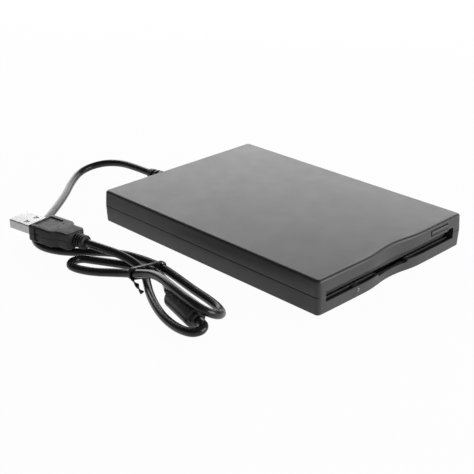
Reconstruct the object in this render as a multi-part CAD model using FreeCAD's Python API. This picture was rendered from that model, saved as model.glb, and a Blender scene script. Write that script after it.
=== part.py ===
import FreeCAD, Part
import math
import os

# External floppy disk drive with a captive USB cord.
# Units are millimetres. +Z is up, the rubber feet stand on z = 0, the disk slot faces -Y,
# and the casing is centred on x = 0, y = 0.

V = FreeCAD.Vector
X_AXIS = V(1, 0, 0)
Y_AXIS = V(0, 1, 0)
Z_AXIS = V(0, 0, 1)
LEFT_AND_RIGHT = (-1, 1)

# ---------------------------------------------------------------- casing sizes
casing_length = 142.0
casing_width = 102.0
casing_height = 16.2
foot_stand = 0.8
bottom_cover_height = 8.5
draft_inset = 0.5
edge_tolerance = 0.001
cut_over = 1.0
side_wall = 2.0
front_wall = 2.0
floor_thickness = 1.5
roof_thickness = 1.5
front_corner_radius = 2.4
rear_corner_radius = 2.5
top_edge_radius = 1.3
bottom_edge_radius = 0.6
wave_half_width = 20.0
wave_depth = 1.9
cheek_drop = 0.25
seam_bevel = 0.22
tongue_thickness = 0.8
tongue_height = 1.1
tongue_clearance = 0.1

# ---------------------------------------------------------------- disk and slot
head_space = 27.0
disk_hub_share = 0.5
disk_thickness = 3.3
disk_side_clearance = 0.3
slot_above_base = 5.5
slot_height = 4.2
disk_path_x = -1.0
disk_front_inset = 6.0
carrier_drop = 1.6
lip_radius = 2.2
slot_sill = 1.2
slot_pocket_depth = 1.6
slot_pocket_wall = 0.8
slot_pocket_from_middle = 12.0
lamp_boss_half = 1.8
thumb_notch_half_width = 9.8
thumb_notch_depth = 1.3
thumb_notch_slope = 1.0
release_notch_width = 3.8
release_notch_gap = 0.5
release_notch_rise = 1.3
release_notch_sink = 0.5

# ---------------------------------------------------------------- eject button, lamp
button_from_side = 18.0
button_width = 12.3
button_height = 1.85
button_gap = 0.45
button_above_base = 13.15
button_recess = 0.05
button_travel = 5.0
button_length = 6.95
lamp_from_side = 25.5
lamp_above_base = 3.8
light_pipe_radius = 0.9
light_pipe_proud = 0.1

# ---------------------------------------------------------------- feet and fasteners
foot_radius = 5.0
foot_recess = 0.4
foot_from_side = 15.0
foot_from_end = 10.0
case_screw_from_side = 7.0
case_screw_from_end = 7.5
case_boss_radius = 2.6
case_boss_sink = 0.5
case_screw_tip = 1.0
screw_shank_radius = 0.9
screw_head_radius = 1.8
screw_head_height = 0.65
screw_fit = 0.05
screw_slit_share = 8
head_clearance = 0.2
frame_screw_inset = 4.0
frame_screw_front = 10.6
frame_screw_rear = 11.0
frame_collar_radius = 2.0

# ---------------------------------------------------------------- drive mechanism
running_gap = 0.3
pin_fit = 0.05
frame_side_gap = 1.5
frame_rear_space = 13.0
slide_side_gap = 0.35
frame_plate = 0.8
frame_side = 0.7
cover_plate = 0.5
roof_gap = 0.5
carrier_sheet = 0.5
carrier_front_gap = 6.2
carrier_rear_inset = 0.2
carrier_lip = 3.0
slide_sheet = 0.5
slide_rear_inset = 18.8
slide_arm_past_disk = 0.7
slide_rail = 5.0
slide_ear_margin = 1.0
button_tab_half = 3.0
button_stem_share = 0.75
drop_pin_radius = 0.9
drop_pin_slack = 0.2
drop_pin_inset = 12.6
drop_pin_rear_inset = 8.8
head_window_half = 8.0
head_window_from_hub = 16.0
spring_from_side = 7.5
spring_from_slide_front = 18.3
spring_tab_half = 1.5
spring_length = 24.0
spring_radius = 1.1
spring_wall = 0.4
cover_plate_setback = 9.0
frame_flange = 8.0
frame_flange_low = 4.0
post_half = 1.6
post_depth = 1.5
guide_post_rise = 1.8
screw_post_rise = 1.6
cradle_rise = 0.6

spindle_rotor_radius = 18.5
spindle_rotor_thickness = 0.8
spindle_shaft_radius = 2.0
spindle_bush_wall = 2.0
hub_boss_radius = 11.0
hub_boss_rise = 0.3
magnet_rim = 1.5
magnet_hole_radius = 6.4
magnet_thickness = 0.4
drive_pin_offset = 4.4
drive_pin_radius = 1.1
drive_pin_height = 1.2
coil_count = 9
coil_circle_radius = 13.0
coil_radius = 2.6
coil_height = 0.7

outer_track_radius = 39.5
carriage_length = 8.0
carriage_rear_gap = 2.0
guide_rod_radius = 1.0
guide_rod_x = -12.0
guide_rod_height = 2.9
screw_x = 14.0
screw_height = 5.3
lead_screw_radius = 1.2
lead_screw_journal = 0.8
stepper_radius = 4.8
stepper_length = 8.0
upper_arm_height = 8.8
upper_arm_thickness = 0.8
carriage_low_gap = 0.5
carriage_left = -15.0
carriage_right = 8.0
carriage_above_rod = 3.5
lower_arm_half = 5.0
lower_arm_thickness = 1.0
head_arm_margin = 3.5
ear_inner = 7.4
ear_outer = 8.4
ear_length = 4.0
ear_above_arm = 1.4
ear_below = 0.5
follower_thickness = 0.8
follower_half = 0.4
follower_web = 1.2
follower_root_x = 7.0
follower_web_left = 6.0
rod_end_gap = 0.5
flag_left = -19.0
flag_right = -14.0
flag_half = 0.3
head_half = 2.5
head_above_slot = 0.2
upper_head_gap = 0.25
arm_half = 5.0
arm_root_half = 7.1
arm_root_length = 6.0
arm_rear_gap = 1.0
arm_pivot_inset = 2.0
arm_pin_radius = 0.6
arm_pin_half = 8.3
load_spring_half = 2.0
load_spring_front = 12.0
load_spring_rear = 3.0
load_spring_thickness = 0.2
sensor_left = -22.0
sensor_right = -16.0
sensor_depth = 3.5
sensor_height = 2.0
sensor_slot_half = 0.6
sensor_wall = 1.8
sensor_slot_over = 20.0
screw_tail = 2.5
screw_nose_gap = 0.2
motor_bore_depth = 3.0

board_thickness = 0.6
board_front_inset = 2.6
board_side_gap = 7.0
board_depth = 18.0
board_arm_from_side = 6.5
board_arm_to_sensor = 3.0
chip_height = 0.7
chip_spots = ((-14, -2, 6, 16), (6, 16, 7, 15))
side_chip_inset = 4.0
side_chip_width = 7.0
side_chip_front = 26.0
side_chip_rear = 36.0
switch_edge_inset = 2.0
switch_spacing = 8.5
switch_inset = 2.2
switch_half = 1.8
switch_height = 1.3
switch_floor = 0.1
plunger_radius = 0.7
plunger_fit = 0.08
plunger_travel = 1.0
lamp_half = 1.0
lamp_depth = 1.4
socket_to_sensor = 4.0
socket_depth = 3.5
socket_height = 1.4
interface_z = 4.3
interface_thickness = 0.8
interface_side_gap = 13.0
interface_front_gap = 1.5
interface_rear_gap = 3.0
interface_hole_from_side = 4.0
interface_hole_from_rear = 2.4
standoff_radius = 2.2
standoff_hole_radius = 1.1
standoff_peg_rise = 0.6
bridge_chip_spot = (4.5, 11.5, 1.0, 8.0)
bridge_chip_height = 1.0
crystal_spot = (12.5, 19.5, 2.5, 6.0)
crystal_height = 2.2
crystal_round = 1.5
right_capacitor_from_side = 10.0
left_capacitor_from_side = 16.0
capacitor_inset = 5.6
capacitor_radius = 1.9
capacitor_height = 3.6
small_part_spots_x = (-13.4, -1.4, 1.2)
small_part_inset = 6.5
small_part_width = 1.6
small_part_depth = 0.8
small_part_height = 0.6
header_half = 4.0
header_inset = 4.5
header_depth = 3.0
header_height = 3.9
lead_count = 4
lead_pitch = 1.6
lead_radius = 0.4
lead_rise = 2.9
board_socket_inset = 0.6
board_socket_depth = 3.0
board_socket_height = 1.6
ribbon_inset = 1.0
ribbon_low_rise = 0.6
ribbon_high_rise = 0.7
ribbon_sheet = 0.2

door_thickness = 0.8
door_pin_radius = 0.6
door_setback = 1.0
door_spring_wall = 0.3
door_spring_fit = 0.1

lever_length = 22.0
lever_swing = 55.0
lever_rest_angle = -80.0
lever_thickness = 0.6
lever_pin_radius = 1.0
lever_from_side = 11.5
lever_half_width = 1.5
lever_hub_radius = 2.4
lever_pin_reach = 2.0
lever_ear_half = 4.0
lever_ear_rear = 3.0
lever_post_height = 2.2
lever_spring_wall = 0.55
lever_spring_height = 0.9

# ---------------------------------------------------------------- cord and plug
cord_radius = 1.9
cord_exit_x = -6.2
strain_relief_length = 17.0
strain_relief_root_radius = 4.2
strain_relief_tip_radius = 2.7
strain_relief_neck_radius = 3.4
strain_relief_flange_half = 5.2
strain_relief_flange_drop = 1.0
strain_relief_flange_depth = 2.0
strain_relief_grooves = 4
strain_relief_groove_depth = 0.5
plug_shell_width = 12.0
plug_shell_height = 4.5
plug_shell_length = 15.0
plug_shell_sheet = 0.3
plug_body_width = 16.0
plug_body_height = 8.0
plug_body_length = 15.0
plug_waist_length = 8.0
plug_waist_width = 11.2
plug_relief_length = 7.0
plug_relief_radius = 3.4
plug_relief_grooves = 3
plug_relief_groove_depth = 0.8
plug_body_round = 0.9
plug_waist_round = 0.9
plug_grip_depth = 0.5
plug_grip_rear = 2.5
plug_grip_front = 3.5
plug_pocket = 5.0
plug_shell_round = 0.5
plug_window_x = 2.9
plug_window_half = 1.1
plug_window_start = 5.2
plug_window_end = 7.4
tongue_fit = 0.05
tongue_low = 0.1
tongue_height_in_plug = 1.84
tongue_setback = 0.6
tongue_block = 2.5
contact_spots_x = (-3.5, -1.0, 1.0, 3.5)
contact_half = 0.5
outer_contact_setback = 2.0
inner_contact_setback = 3.2
plug_run = 9.0
plug_axis_height = 8.6
plug_front = V(-88.5, 0.2, plug_axis_height)
plug_turn = 8.7
bead_radius = 4.8
bead_length = 21.2
bead_neck_radius = 3.0
bead_neck_length = 2.0
bead_end_round = 1.4
bead_shift = 0.6
core_wall = 1.6
core_cover = 0.9
core_length = 15.0
sleeve_fit = 0.03
tie_width = 1.4
tie_thickness = 0.6
tie_slack = 0.35
tie_from_back = 63.7
tie_tail_length = 12.0
tie_tail_shift = 2.0
tie_tail_heading = V(-0.35, -1, -0.12)
tie_plane_reach = 70.0
tie_plane_top = 30.0
bead_start = V(-84.8, -87.3, 4.9)
bead_end = V(-92.6, -115.5, 4.85)

# ---------------------------------------------------------------- worked-out places
base_z = foot_stand
seam_z = base_z + bottom_cover_height
top_z = base_z + casing_height
floor_z = base_z + floor_thickness
roof_z = top_z - roof_thickness
crest_y = -casing_length / 2
back_y = casing_length / 2
cavity_half = casing_width / 2 - side_wall
cavity_front = crest_y + wave_depth + front_wall
cavity_back = back_y - side_wall
slot_floor_z = base_z + slot_above_base
slot_roof_z = slot_floor_z + slot_height
frame_half_width = cavity_half - frame_side_gap
slide_half = frame_half_width - frame_side - slide_side_gap
carrier_half = slide_half - slide_sheet - running_gap
sheet_gap = disk_side_clearance / 2
disk_half_width = carrier_half - carrier_sheet - sheet_gap
slot_half = disk_half_width + disk_side_clearance
slot_left = disk_path_x - slot_half
slot_right = disk_path_x + slot_half
plate_top = floor_z + frame_plate
frame_front = cavity_front + running_gap
frame_rear = cavity_back - frame_rear_space
disk_front_y = crest_y + disk_front_inset
disk_rear_y = frame_rear - head_space
disk_length = disk_rear_y - disk_front_y
hub_y = disk_front_y + disk_length * disk_hub_share
frame_top = roof_z - roof_gap
wall_top = frame_top - cover_plate
disk_gap = (slot_height - disk_thickness) / 2
disk_low_z = slot_floor_z + disk_gap
disk_top_z = disk_low_z + disk_thickness
carrier_lip_z = disk_low_z - sheet_gap - carrier_sheet
carrier_plate_z = disk_top_z + sheet_gap
carrier_top_z = carrier_plate_z + carrier_sheet
carrier_front = frame_front + carrier_front_gap
carrier_rear = disk_rear_y - carrier_rear_inset
slide_z = carrier_top_z + running_gap
slide_top_z = slide_z + slide_sheet
slide_front = carrier_front + button_travel + running_gap
drop_pin_z = (carrier_lip_z + carrier_top_z) / 2 + running_gap
drop_pin_front = carrier_front + drop_pin_inset
drop_pins_y = (drop_pin_front, carrier_rear - drop_pin_rear_inset)
head_window_start = hub_y + head_window_from_hub
spring_x = frame_half_width - spring_from_side
spring_tab_y = slide_front + spring_from_slide_front
door_pivot_y = cavity_front + door_setback
door_pivot_z = slot_roof_z + door_pin_radius
button_centre_x = casing_width / 2 - button_from_side
button_low_z = base_z + button_above_base - button_height / 2
button_face_y = crest_y + button_recess
lamp_x = lamp_from_side - casing_width / 2
lamp_z = base_z + lamp_above_base
cord_exit_z = seam_z
head_y = hub_y + outer_track_radius
carriage_rear = frame_rear - carriage_rear_gap
carriage_front = carriage_rear - carriage_length
arm_z = floor_z + upper_arm_height + running_gap
socket_left = board_arm_from_side - frame_half_width
socket_right = sensor_left - socket_to_sensor
interface_half = casing_width / 2 - interface_side_gap
interface_front = frame_rear + interface_front_gap
interface_rear = cavity_back - interface_rear_gap
header_rear = interface_front + header_inset + header_depth
tie_y = back_y - tie_from_back


def box(x0, x1, y0, y1, z0, z1):
    return Part.makeBox(x1 - x0, y1 - y0, z1 - z0, V(x0, y0, z0))


def rod(radius, start, end):
    return Part.makeCylinder(radius, (end - start).Length, start, end - start)


def across(x0, x1, y0, y1, z0, z1):
    """A box whose x values are counted from the middle of the disk path."""
    return box(disk_path_x + x0, disk_path_x + x1, y0, y1, z0, z1)


def fuse(shapes):
    first = shapes[0]
    return first.multiFuse(shapes[1:]).removeSplitter() if len(shapes) > 1 else first


def compound(shapes):
    return Part.makeCompound(shapes)


def export(shape, name):
    shape.exportStep("parts/" + name + ".step")


# ---------------------------------------------------------------- casing outline
def outline_arcs():
    """Arcs of the casing's plan view, anticlockwise: centre, radius, side and two angles."""
    half = casing_width / 2
    swing_radius = (wave_half_width ** 2 + wave_depth ** 2) / (4 * wave_depth)
    swing = math.degrees(math.asin(wave_half_width / 2 / swing_radius))
    span = half - front_corner_radius - wave_half_width
    cheek_radius = (span ** 2 + cheek_drop ** 2) / (2 * cheek_drop)
    reach = math.sqrt((cheek_radius - front_corner_radius) ** 2 - span ** 2)
    corner_y = crest_y + cheek_radius - reach
    lean = math.degrees(math.asin(span / (cheek_radius - front_corner_radius)))
    corner_x = half - front_corner_radius
    rear_x = half - rear_corner_radius
    rear_y = back_y - rear_corner_radius
    crest_centre_y = crest_y + swing_radius
    valley_y = crest_y + wave_depth - swing_radius
    cheek_y = crest_y + cheek_radius
    return [
        (-corner_x, corner_y, front_corner_radius, 1, 180, 270 - lean),
        (-wave_half_width, cheek_y, cheek_radius, 1, 270 - lean, 270),
        (-wave_half_width, crest_centre_y, swing_radius, 1, 270, 270 + swing),
        (0, valley_y, swing_radius, -1, 90 + swing, 90 - swing),
        (wave_half_width, crest_centre_y, swing_radius, 1, 270 - swing, 270),
        (wave_half_width, cheek_y, cheek_radius, 1, 270, 270 + lean),
        (corner_x, corner_y, front_corner_radius, 1, 270 + lean, 360),
        (rear_x, rear_y, rear_corner_radius, 1, 0, 90),
        (-rear_x, rear_y, rear_corner_radius, 1, 90, 180),
    ]


def outline(inset, z):
    """The casing's plan outline, moved inwards by an inset, at a height."""
    def on_arc(arc, angle):
        radius = arc[2] - arc[3] * inset
        turn = math.radians(angle)
        return V(arc[0] + radius * math.cos(turn), arc[1] + radius * math.sin(turn), z)

    arcs = outline_arcs()
    edges = []
    for index, arc in enumerate(arcs):
        middle = (arc[4] + arc[5]) / 2
        start = on_arc(arc, arc[4])
        end = on_arc(arc, arc[5])
        edges.append(Part.Arc(start, on_arc(arc, middle), end).toShape())
        follower = arcs[(index + 1) % len(arcs)]
        next_start = on_arc(follower, follower[4])
        if (next_start - end).Length > edge_tolerance:
            edges.append(Part.LineSegment(end, next_start).toShape())
    return Part.Wire(edges)


def tapered(low_inset, low_z, high_inset, high_z):
    return Part.makeLoft([outline(low_inset, low_z), outline(high_inset, high_z)], True, True)


def rounded_rim(solid, z, radius):
    rim = [edge for edge in solid.Edges
           if abs(edge.BoundBox.ZMin - z) < edge_tolerance and abs(edge.BoundBox.ZMax - z) < edge_tolerance]
    return solid.makeFillet(radius, rim)


def cavity(z0, z1, grow=0.0):
    return box(-cavity_half - grow, cavity_half + grow, cavity_front - grow, cavity_back + grow, z0, z1)


def disk_slot():
    return box(slot_left, slot_right, crest_y - cut_over, cavity_front + side_wall, slot_floor_z, slot_roof_z)


def slot_pocket():
    """Hollows behind the slot's thin sill, left and right, with a boss left round the light pipe."""
    low = slot_floor_z - slot_pocket_depth
    inside = Part.Face(outline(slot_sill, low)).extrude(Z_AXIS * (slot_pocket_depth + cut_over))
    rear = cavity_front - slot_pocket_wall
    pocket = inside.common(box(slot_left, slot_right, crest_y, rear, low, slot_floor_z + cut_over))
    boss = box(lamp_x - lamp_boss_half, lamp_x + lamp_boss_half, crest_y, rear, low, slot_floor_z)
    middle = box(-slot_pocket_from_middle, slot_pocket_from_middle, crest_y, rear, low, slot_floor_z + cut_over)
    return pocket.cut(boss).cut(middle)


def slot_lip_cut():
    """Space in front of the slot's rounded upper lip."""
    inner_y = crest_y + wave_depth
    outer_y = inner_y - lip_radius
    high_z = slot_roof_z + lip_radius
    across_lip = math.sqrt(0.5) * lip_radius
    middle = V(slot_left, inner_y - across_lip, high_z - across_lip)
    curve = Part.Arc(V(slot_left, outer_y, high_z), middle, V(slot_left, inner_y, slot_roof_z)).toShape()
    low = V(slot_left, inner_y, slot_roof_z - cut_over)
    front_low = V(slot_left, outer_y - cut_over, slot_roof_z - cut_over)
    front_high = V(slot_left, outer_y - cut_over, high_z)
    rest = Part.makePolygon([V(slot_left, inner_y, slot_roof_z), low, front_low, front_high,
                             V(slot_left, outer_y, high_z)])
    wire = Part.Wire([curve] + rest.Edges)
    return Part.Face(wire).extrude(V(slot_right - slot_left, 0, 0))


def release_notch():
    """Open corner beside the button, at the slot's right end."""
    right = slot_right - release_notch_gap
    return box(right - release_notch_width, right, crest_y - cut_over, cavity_front + cut_over,
               slot_roof_z - release_notch_sink, slot_roof_z + release_notch_rise)


def button_window():
    half = button_width / 2 + button_gap
    low = button_low_z - button_gap
    high = button_low_z + button_height + button_gap
    left = button_centre_x - half
    right = button_centre_x + half
    return box(left, right, crest_y - cut_over, cavity_front + cut_over, low, high)


def cord_hole():
    return rod(strain_relief_neck_radius, V(cord_exit_x, cavity_back - cut_over, cord_exit_z),
               V(cord_exit_x, back_y + cut_over, cord_exit_z))


def case_screw_places():
    x = casing_width / 2 - case_screw_from_side
    return [V(side * x, back_y - case_screw_from_end, 0) for side in LEFT_AND_RIGHT]


def frame_screw_places():
    inboard = frame_half_width - frame_screw_inset
    rows = (carrier_front + frame_screw_front, frame_rear - frame_screw_rear)
    return [V(disk_path_x + side * inboard, y, 0) for side in LEFT_AND_RIGHT for y in rows]


def upright(radius, place, z0, z1):
    return rod(radius, V(place.x, place.y, z0), V(place.x, place.y, z1))


# ---------------------------------------------------------------- casing pieces
def make_top_cover():
    shell = rounded_rim(tapered(0, seam_z, draft_inset, top_z), top_z, top_edge_radius)
    shell = shell.cut(cavity(seam_z - cut_over, roof_z))
    groove = tongue_thickness + tongue_clearance
    shell = shell.cut(cavity(seam_z - cut_over, seam_z + tongue_height + tongue_clearance, groove))
    bevel = tapered(0, seam_z, 0, seam_z + seam_bevel).cut(tapered(seam_bevel, seam_z, 0, seam_z + seam_bevel))
    shell = shell.cut(bevel)
    boss_top = roof_z + case_boss_sink
    bosses = [upright(case_boss_radius, place, seam_z, boss_top) for place in case_screw_places()]
    shell = fuse([shell] + bosses)
    hole_top = roof_z - case_boss_sink
    for place in case_screw_places():
        shell = shell.cut(upright(screw_shank_radius + screw_fit, place, seam_z - cut_over, hole_top))
    for space in (disk_slot(), slot_lip_cut(), release_notch(), button_window(), cord_hole()):
        shell = shell.cut(space)
    return shell


def thumb_notch():
    low = slot_floor_z - thumb_notch_depth
    high = slot_floor_z + cut_over
    spread = thumb_notch_slope * (high - low) / thumb_notch_depth
    corners = [V(-thumb_notch_half_width, 0, low), V(thumb_notch_half_width, 0, low),
               V(thumb_notch_half_width + spread, 0, high), V(-thumb_notch_half_width - spread, 0, high)]
    face = Part.Face(Part.makePolygon(corners + corners[:1]))
    face.translate(V(0, crest_y - cut_over, 0))
    return face.extrude(V(0, wave_depth + front_wall + 2 * cut_over, 0))


def make_bottom_cover():
    shell = rounded_rim(tapered(draft_inset, base_z, 0, seam_z), base_z, bottom_edge_radius)
    bevel = tapered(0, seam_z - seam_bevel, 0, seam_z).cut(tapered(0, seam_z - seam_bevel, seam_bevel, seam_z))
    shell = shell.cut(bevel)
    tongue = cavity(seam_z - cut_over, seam_z + tongue_height, tongue_thickness)
    shell = fuse([shell, tongue]).cut(cavity(floor_z, top_z))
    boss_low = base_z + case_boss_sink
    bosses = [upright(case_boss_radius, place, boss_low, seam_z) for place in case_screw_places()]
    shell = fuse([shell] + bosses)
    head_z = base_z + screw_head_height
    for place in case_screw_places():
        shell = shell.cut(upright(screw_shank_radius + head_clearance, place, base_z, seam_z + cut_over))
        shell = shell.cut(upright(screw_head_radius + head_clearance, place, base_z - cut_over, head_z))
    for place in frame_screw_places():
        shell = shell.cut(upright(screw_shank_radius + head_clearance, place, base_z, floor_z + cut_over))
        shell = shell.cut(upright(screw_head_radius + head_clearance, place, base_z - cut_over, head_z))
    for place in foot_places():
        shell = shell.cut(upright(foot_radius + pin_fit, place, base_z - cut_over, base_z + foot_recess))
    lamp_hole = rod(light_pipe_radius + pin_fit, V(lamp_x, crest_y - cut_over, lamp_z),
                    V(lamp_x, cavity_front + cut_over, lamp_z))
    for space in (disk_slot(), slot_pocket(), thumb_notch(), lamp_hole, cord_hole()):
        shell = shell.cut(space)
    return shell


def foot_places():
    x = casing_width / 2 - foot_from_side
    y = casing_length / 2 - foot_from_end
    return [V(side * x, end * y, 0) for side in LEFT_AND_RIGHT for end in LEFT_AND_RIGHT]


def make_rubber_feet():
    feet = []
    for place in foot_places():
        foot = upright(foot_radius, place, 0, base_z + foot_recess)
        rim = [edge for edge in foot.Edges if edge.BoundBox.ZMax < edge_tolerance]
        feet.append(foot.makeChamfer(foot_stand / 4, rim))
    return compound(feet)


def pan_screw(place, seat_z, tip_z):
    """Screw driven upwards: its head hangs below the seat and has a cross recess."""
    head = upright(screw_head_radius, place, seat_z - screw_head_height + pin_fit, seat_z)
    shank = upright(screw_shank_radius, place, seat_z, tip_z)
    half = screw_head_radius / 2
    slit = screw_head_radius / screw_slit_share
    low = seat_z - screw_head_height
    depth_z = low + screw_head_height / 2
    cross = fuse([box(place.x - half, place.x + half, place.y - slit, place.y + slit, low, depth_z),
                  box(place.x - slit, place.x + slit, place.y - half, place.y + half, low, depth_z)])
    return fuse([head, shank]).cut(cross)


def make_case_screws():
    seat = base_z + screw_head_height
    return compound([pan_screw(place, seat, roof_z - case_screw_tip) for place in case_screw_places()])


def make_frame_screws():
    seat = base_z + screw_head_height
    return compound([pan_screw(place, seat, plate_top + frame_plate) for place in frame_screw_places()])


def make_light_pipe():
    front = V(lamp_x, crest_y - light_pipe_proud, lamp_z)
    return rod(light_pipe_radius, front, V(lamp_x, lamp_rear_y() - running_gap, lamp_z))


def lamp_rear_y():
    return board_front() + pin_fit


def make_strain_relief():
    root = V(cord_exit_x, back_y, cord_exit_z)
    tip = root + Y_AXIS * strain_relief_length
    neck = rod(strain_relief_neck_radius - pin_fit, V(root.x, cavity_back, root.z), root)
    half = strain_relief_flange_half
    flange = box(root.x - half, root.x + half, cavity_back - strain_relief_flange_depth, cavity_back,
                 root.z - half + strain_relief_flange_drop, root.z + half - strain_relief_flange_drop)
    cone = Part.makeCone(strain_relief_root_radius, strain_relief_tip_radius, strain_relief_length,
                         root, Y_AXIS)
    relief = fuse([flange, neck, cone])
    groove_radius = strain_relief_tip_radius - strain_relief_groove_depth
    groove_width = strain_relief_length / (2 * strain_relief_grooves + 3)
    for index in range(strain_relief_grooves):
        start = root + Y_AXIS * (2 * (index + 1) * groove_width)
        ring = rod(strain_relief_root_radius + cut_over, start, start + Y_AXIS * groove_width)
        core = rod(groove_radius, start, start + Y_AXIS * groove_width)
        relief = relief.cut(ring.cut(core))
    return relief


# ---------------------------------------------------------------- eject button and slide
def make_eject_button():
    left = button_centre_x - button_width / 2
    right = button_centre_x + button_width / 2
    rear = button_face_y + button_length
    cap = box(left, right, button_face_y, rear, button_low_z, button_low_z + button_height)
    front = [edge for edge in cap.Edges if edge.BoundBox.YMax < button_face_y + edge_tolerance]
    cap = cap.makeFillet(button_height / 8, front)
    stem = box(button_centre_x - button_tab_half, button_centre_x + button_tab_half,
               rear, tab_front() + slide_sheet * 3,
               button_tab_top(), button_low_z + button_height * button_stem_share)
    return fuse([cap, stem])


def button_tab_top():
    return button_low_z - button_gap / 2


def tab_front():
    return cavity_front + button_travel + running_gap


def make_eject_slide():
    rear = disk_rear_y - slide_rear_inset
    arm_rear = disk_rear_y + slide_arm_past_disk
    plate = across(-slide_half, slide_half, slide_front, rear, slide_z, slide_top_z)
    window = across(-head_window_half, head_window_half, head_window_start, rear + cut_over,
                    slide_z - cut_over, slide_top_z + cut_over)
    pieces = [plate.cut(window)]
    ear_low = drop_pin_z - carrier_drop - drop_pin_radius - 2 * drop_pin_slack - slide_ear_margin
    for side in LEFT_AND_RIGHT:
        inner = side * (slide_half - slide_sheet)
        outer = side * slide_half
        rail = side * (slide_half - slide_rail)
        pieces.append(across(min(inner, outer), max(inner, outer), slide_front, arm_rear, ear_low, slide_top_z))
        pieces.append(across(min(rail, outer), max(rail, outer), slide_front, arm_rear, slide_z, slide_top_z))
    tab_z = button_tab_top()
    tab_left = button_centre_x - button_tab_half
    tab_right = button_centre_x + button_tab_half
    pieces.append(box(tab_left, tab_right, slide_front, slide_front + slide_sheet, slide_z, tab_z))
    pieces.append(box(tab_left, tab_right, tab_front(), slide_front + slide_sheet, tab_z - slide_sheet, tab_z))
    slide = fuse(pieces)
    for y in drop_pins_y:
        slide = slide.cut(ramp_slot(y))
    return slide


def ramp_slot(pin_y):
    """Sloped slot in the slide's ears that lowers the carrier as the slide comes forward."""
    radius = drop_pin_radius + drop_pin_slack
    reach = slide_half + 2 * cut_over
    start = V(disk_path_x - reach, pin_y, drop_pin_z)
    end = start + V(0, button_travel, -carrier_drop)
    along = (end - start).normalize()
    normal = V(0, -along.z, along.y) * radius
    corners = [start + normal, end + normal, end - normal, start - normal]
    middle = Part.Face(Part.makePolygon(corners + corners[:1])).extrude(V(2 * reach, 0, 0))
    ends = [rod(radius, point, point + V(2 * reach, 0, 0)) for point in (start, end)]
    return fuse([middle] + ends)


def make_disk_carrier():
    half_in = carrier_half - carrier_sheet
    plate = across(-carrier_half, carrier_half, carrier_front, carrier_rear, carrier_plate_z, carrier_top_z)
    window = across(-head_window_half, head_window_half, head_window_start, carrier_rear + cut_over,
                    carrier_plate_z - cut_over, carrier_top_z + cut_over)
    pieces = [plate.cut(window)]
    for side in LEFT_AND_RIGHT:
        wall = sorted((side * half_in, side * carrier_half))
        lip = sorted((side * (half_in - carrier_lip), side * carrier_half))
        pieces.append(across(*wall, carrier_front, carrier_rear, carrier_lip_z, carrier_top_z))
        pieces.append(across(*lip, carrier_front, carrier_rear, carrier_lip_z, carrier_lip_z + carrier_sheet))
        for y in drop_pins_y:
            start = V(disk_path_x + side * carrier_half, y, drop_pin_z)
            end = V(disk_path_x + side * (frame_half_width - pin_fit), y, drop_pin_z)
            pieces.append(rod(drop_pin_radius, start, end))
    pivot = lever_pivot()
    ear = box(pivot.x - lever_ear_half, pivot.x + lever_ear_half, carrier_rear - cut_over,
              pivot.y + lever_ear_rear, carrier_plate_z, carrier_top_z)
    post = upright(lever_pin_radius, pivot, carrier_top_z, carrier_top_z + lever_post_height)
    carrier = fuse(pieces + [ear, post])
    return carrier.cut(lever_slot())


def lever_pivot():
    turned = math.radians(lever_rest_angle + lever_swing)
    beyond_disk = disk_rear_y + lever_pin_radius
    return V(disk_path_x + lever_from_side - frame_half_width,
             beyond_disk - lever_length * math.sin(turned), carrier_top_z)


def lever_slot():
    """Curved slot in the carrier that the lever's pin reaches through."""
    pivot = lever_pivot()
    low = V(pivot.x, pivot.y, carrier_plate_z - cut_over)
    width = lever_pin_radius + running_gap
    span = lever_swing + 2 * math.degrees(width / lever_length)
    start = lever_rest_angle - math.degrees(width / lever_length)
    depth = carrier_sheet + 2 * cut_over
    outer = Part.makeCylinder(lever_length + width, depth, low, Z_AXIS, span)
    inner = Part.makeCylinder(lever_length - width, depth, low, Z_AXIS, 360)
    slot = outer.cut(inner)
    slot.rotate(low, Z_AXIS, start)
    return slot


def make_shutter_lever():
    pivot = lever_pivot()
    low = carrier_top_z + running_gap
    turn = math.radians(lever_rest_angle)
    tip = V(pivot.x + lever_length * math.cos(turn), pivot.y + lever_length * math.sin(turn), low)
    bar = box(0, lever_length, -lever_half_width, lever_half_width, 0, lever_thickness)
    bar.rotate(V(0, 0, 0), Z_AXIS, lever_rest_angle)
    bar.translate(V(pivot.x, pivot.y, low))
    hub = upright(lever_hub_radius, pivot, low, low + lever_thickness)
    end = upright(lever_half_width, tip, low, low + lever_thickness)
    pin = upright(lever_pin_radius, tip, disk_top_z - lever_pin_reach, low)
    bore = upright(lever_pin_radius + pin_fit, pivot, low - cut_over, low + lever_thickness + cut_over)
    return fuse([bar, hub, end, pin]).cut(bore)


def make_lever_spring():
    pivot = lever_pivot()
    low = carrier_top_z + 2 * running_gap + lever_thickness
    hole_radius = lever_pin_radius + pin_fit
    ring = upright(hole_radius + lever_spring_wall, pivot, low, low + lever_spring_height)
    return ring.cut(upright(hole_radius, pivot, low - cut_over, low + lever_spring_height + cut_over))


# ---------------------------------------------------------------- dust door
def make_dust_door():
    half = slot_half - running_gap
    low = slot_floor_z + running_gap
    plate = across(-half, half, door_pivot_y - door_thickness / 2, door_pivot_y + door_thickness / 2,
                   low, door_pivot_z)
    reach = frame_half_width - pin_fit * 2
    pivot = rod(door_pin_radius, V(disk_path_x - reach, door_pivot_y, door_pivot_z),
                V(disk_path_x + reach, door_pivot_y, door_pivot_z))
    return fuse([plate, pivot])


def make_door_spring():
    start = V(disk_path_x + slot_half - running_gap / 2, door_pivot_y, door_pivot_z)
    end = V(disk_path_x + frame_half_width - frame_side, door_pivot_y, door_pivot_z)
    hole_radius = door_pin_radius + door_spring_fit
    return rod(hole_radius + door_spring_wall, start, end).cut(rod(hole_radius, start, end))


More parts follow.
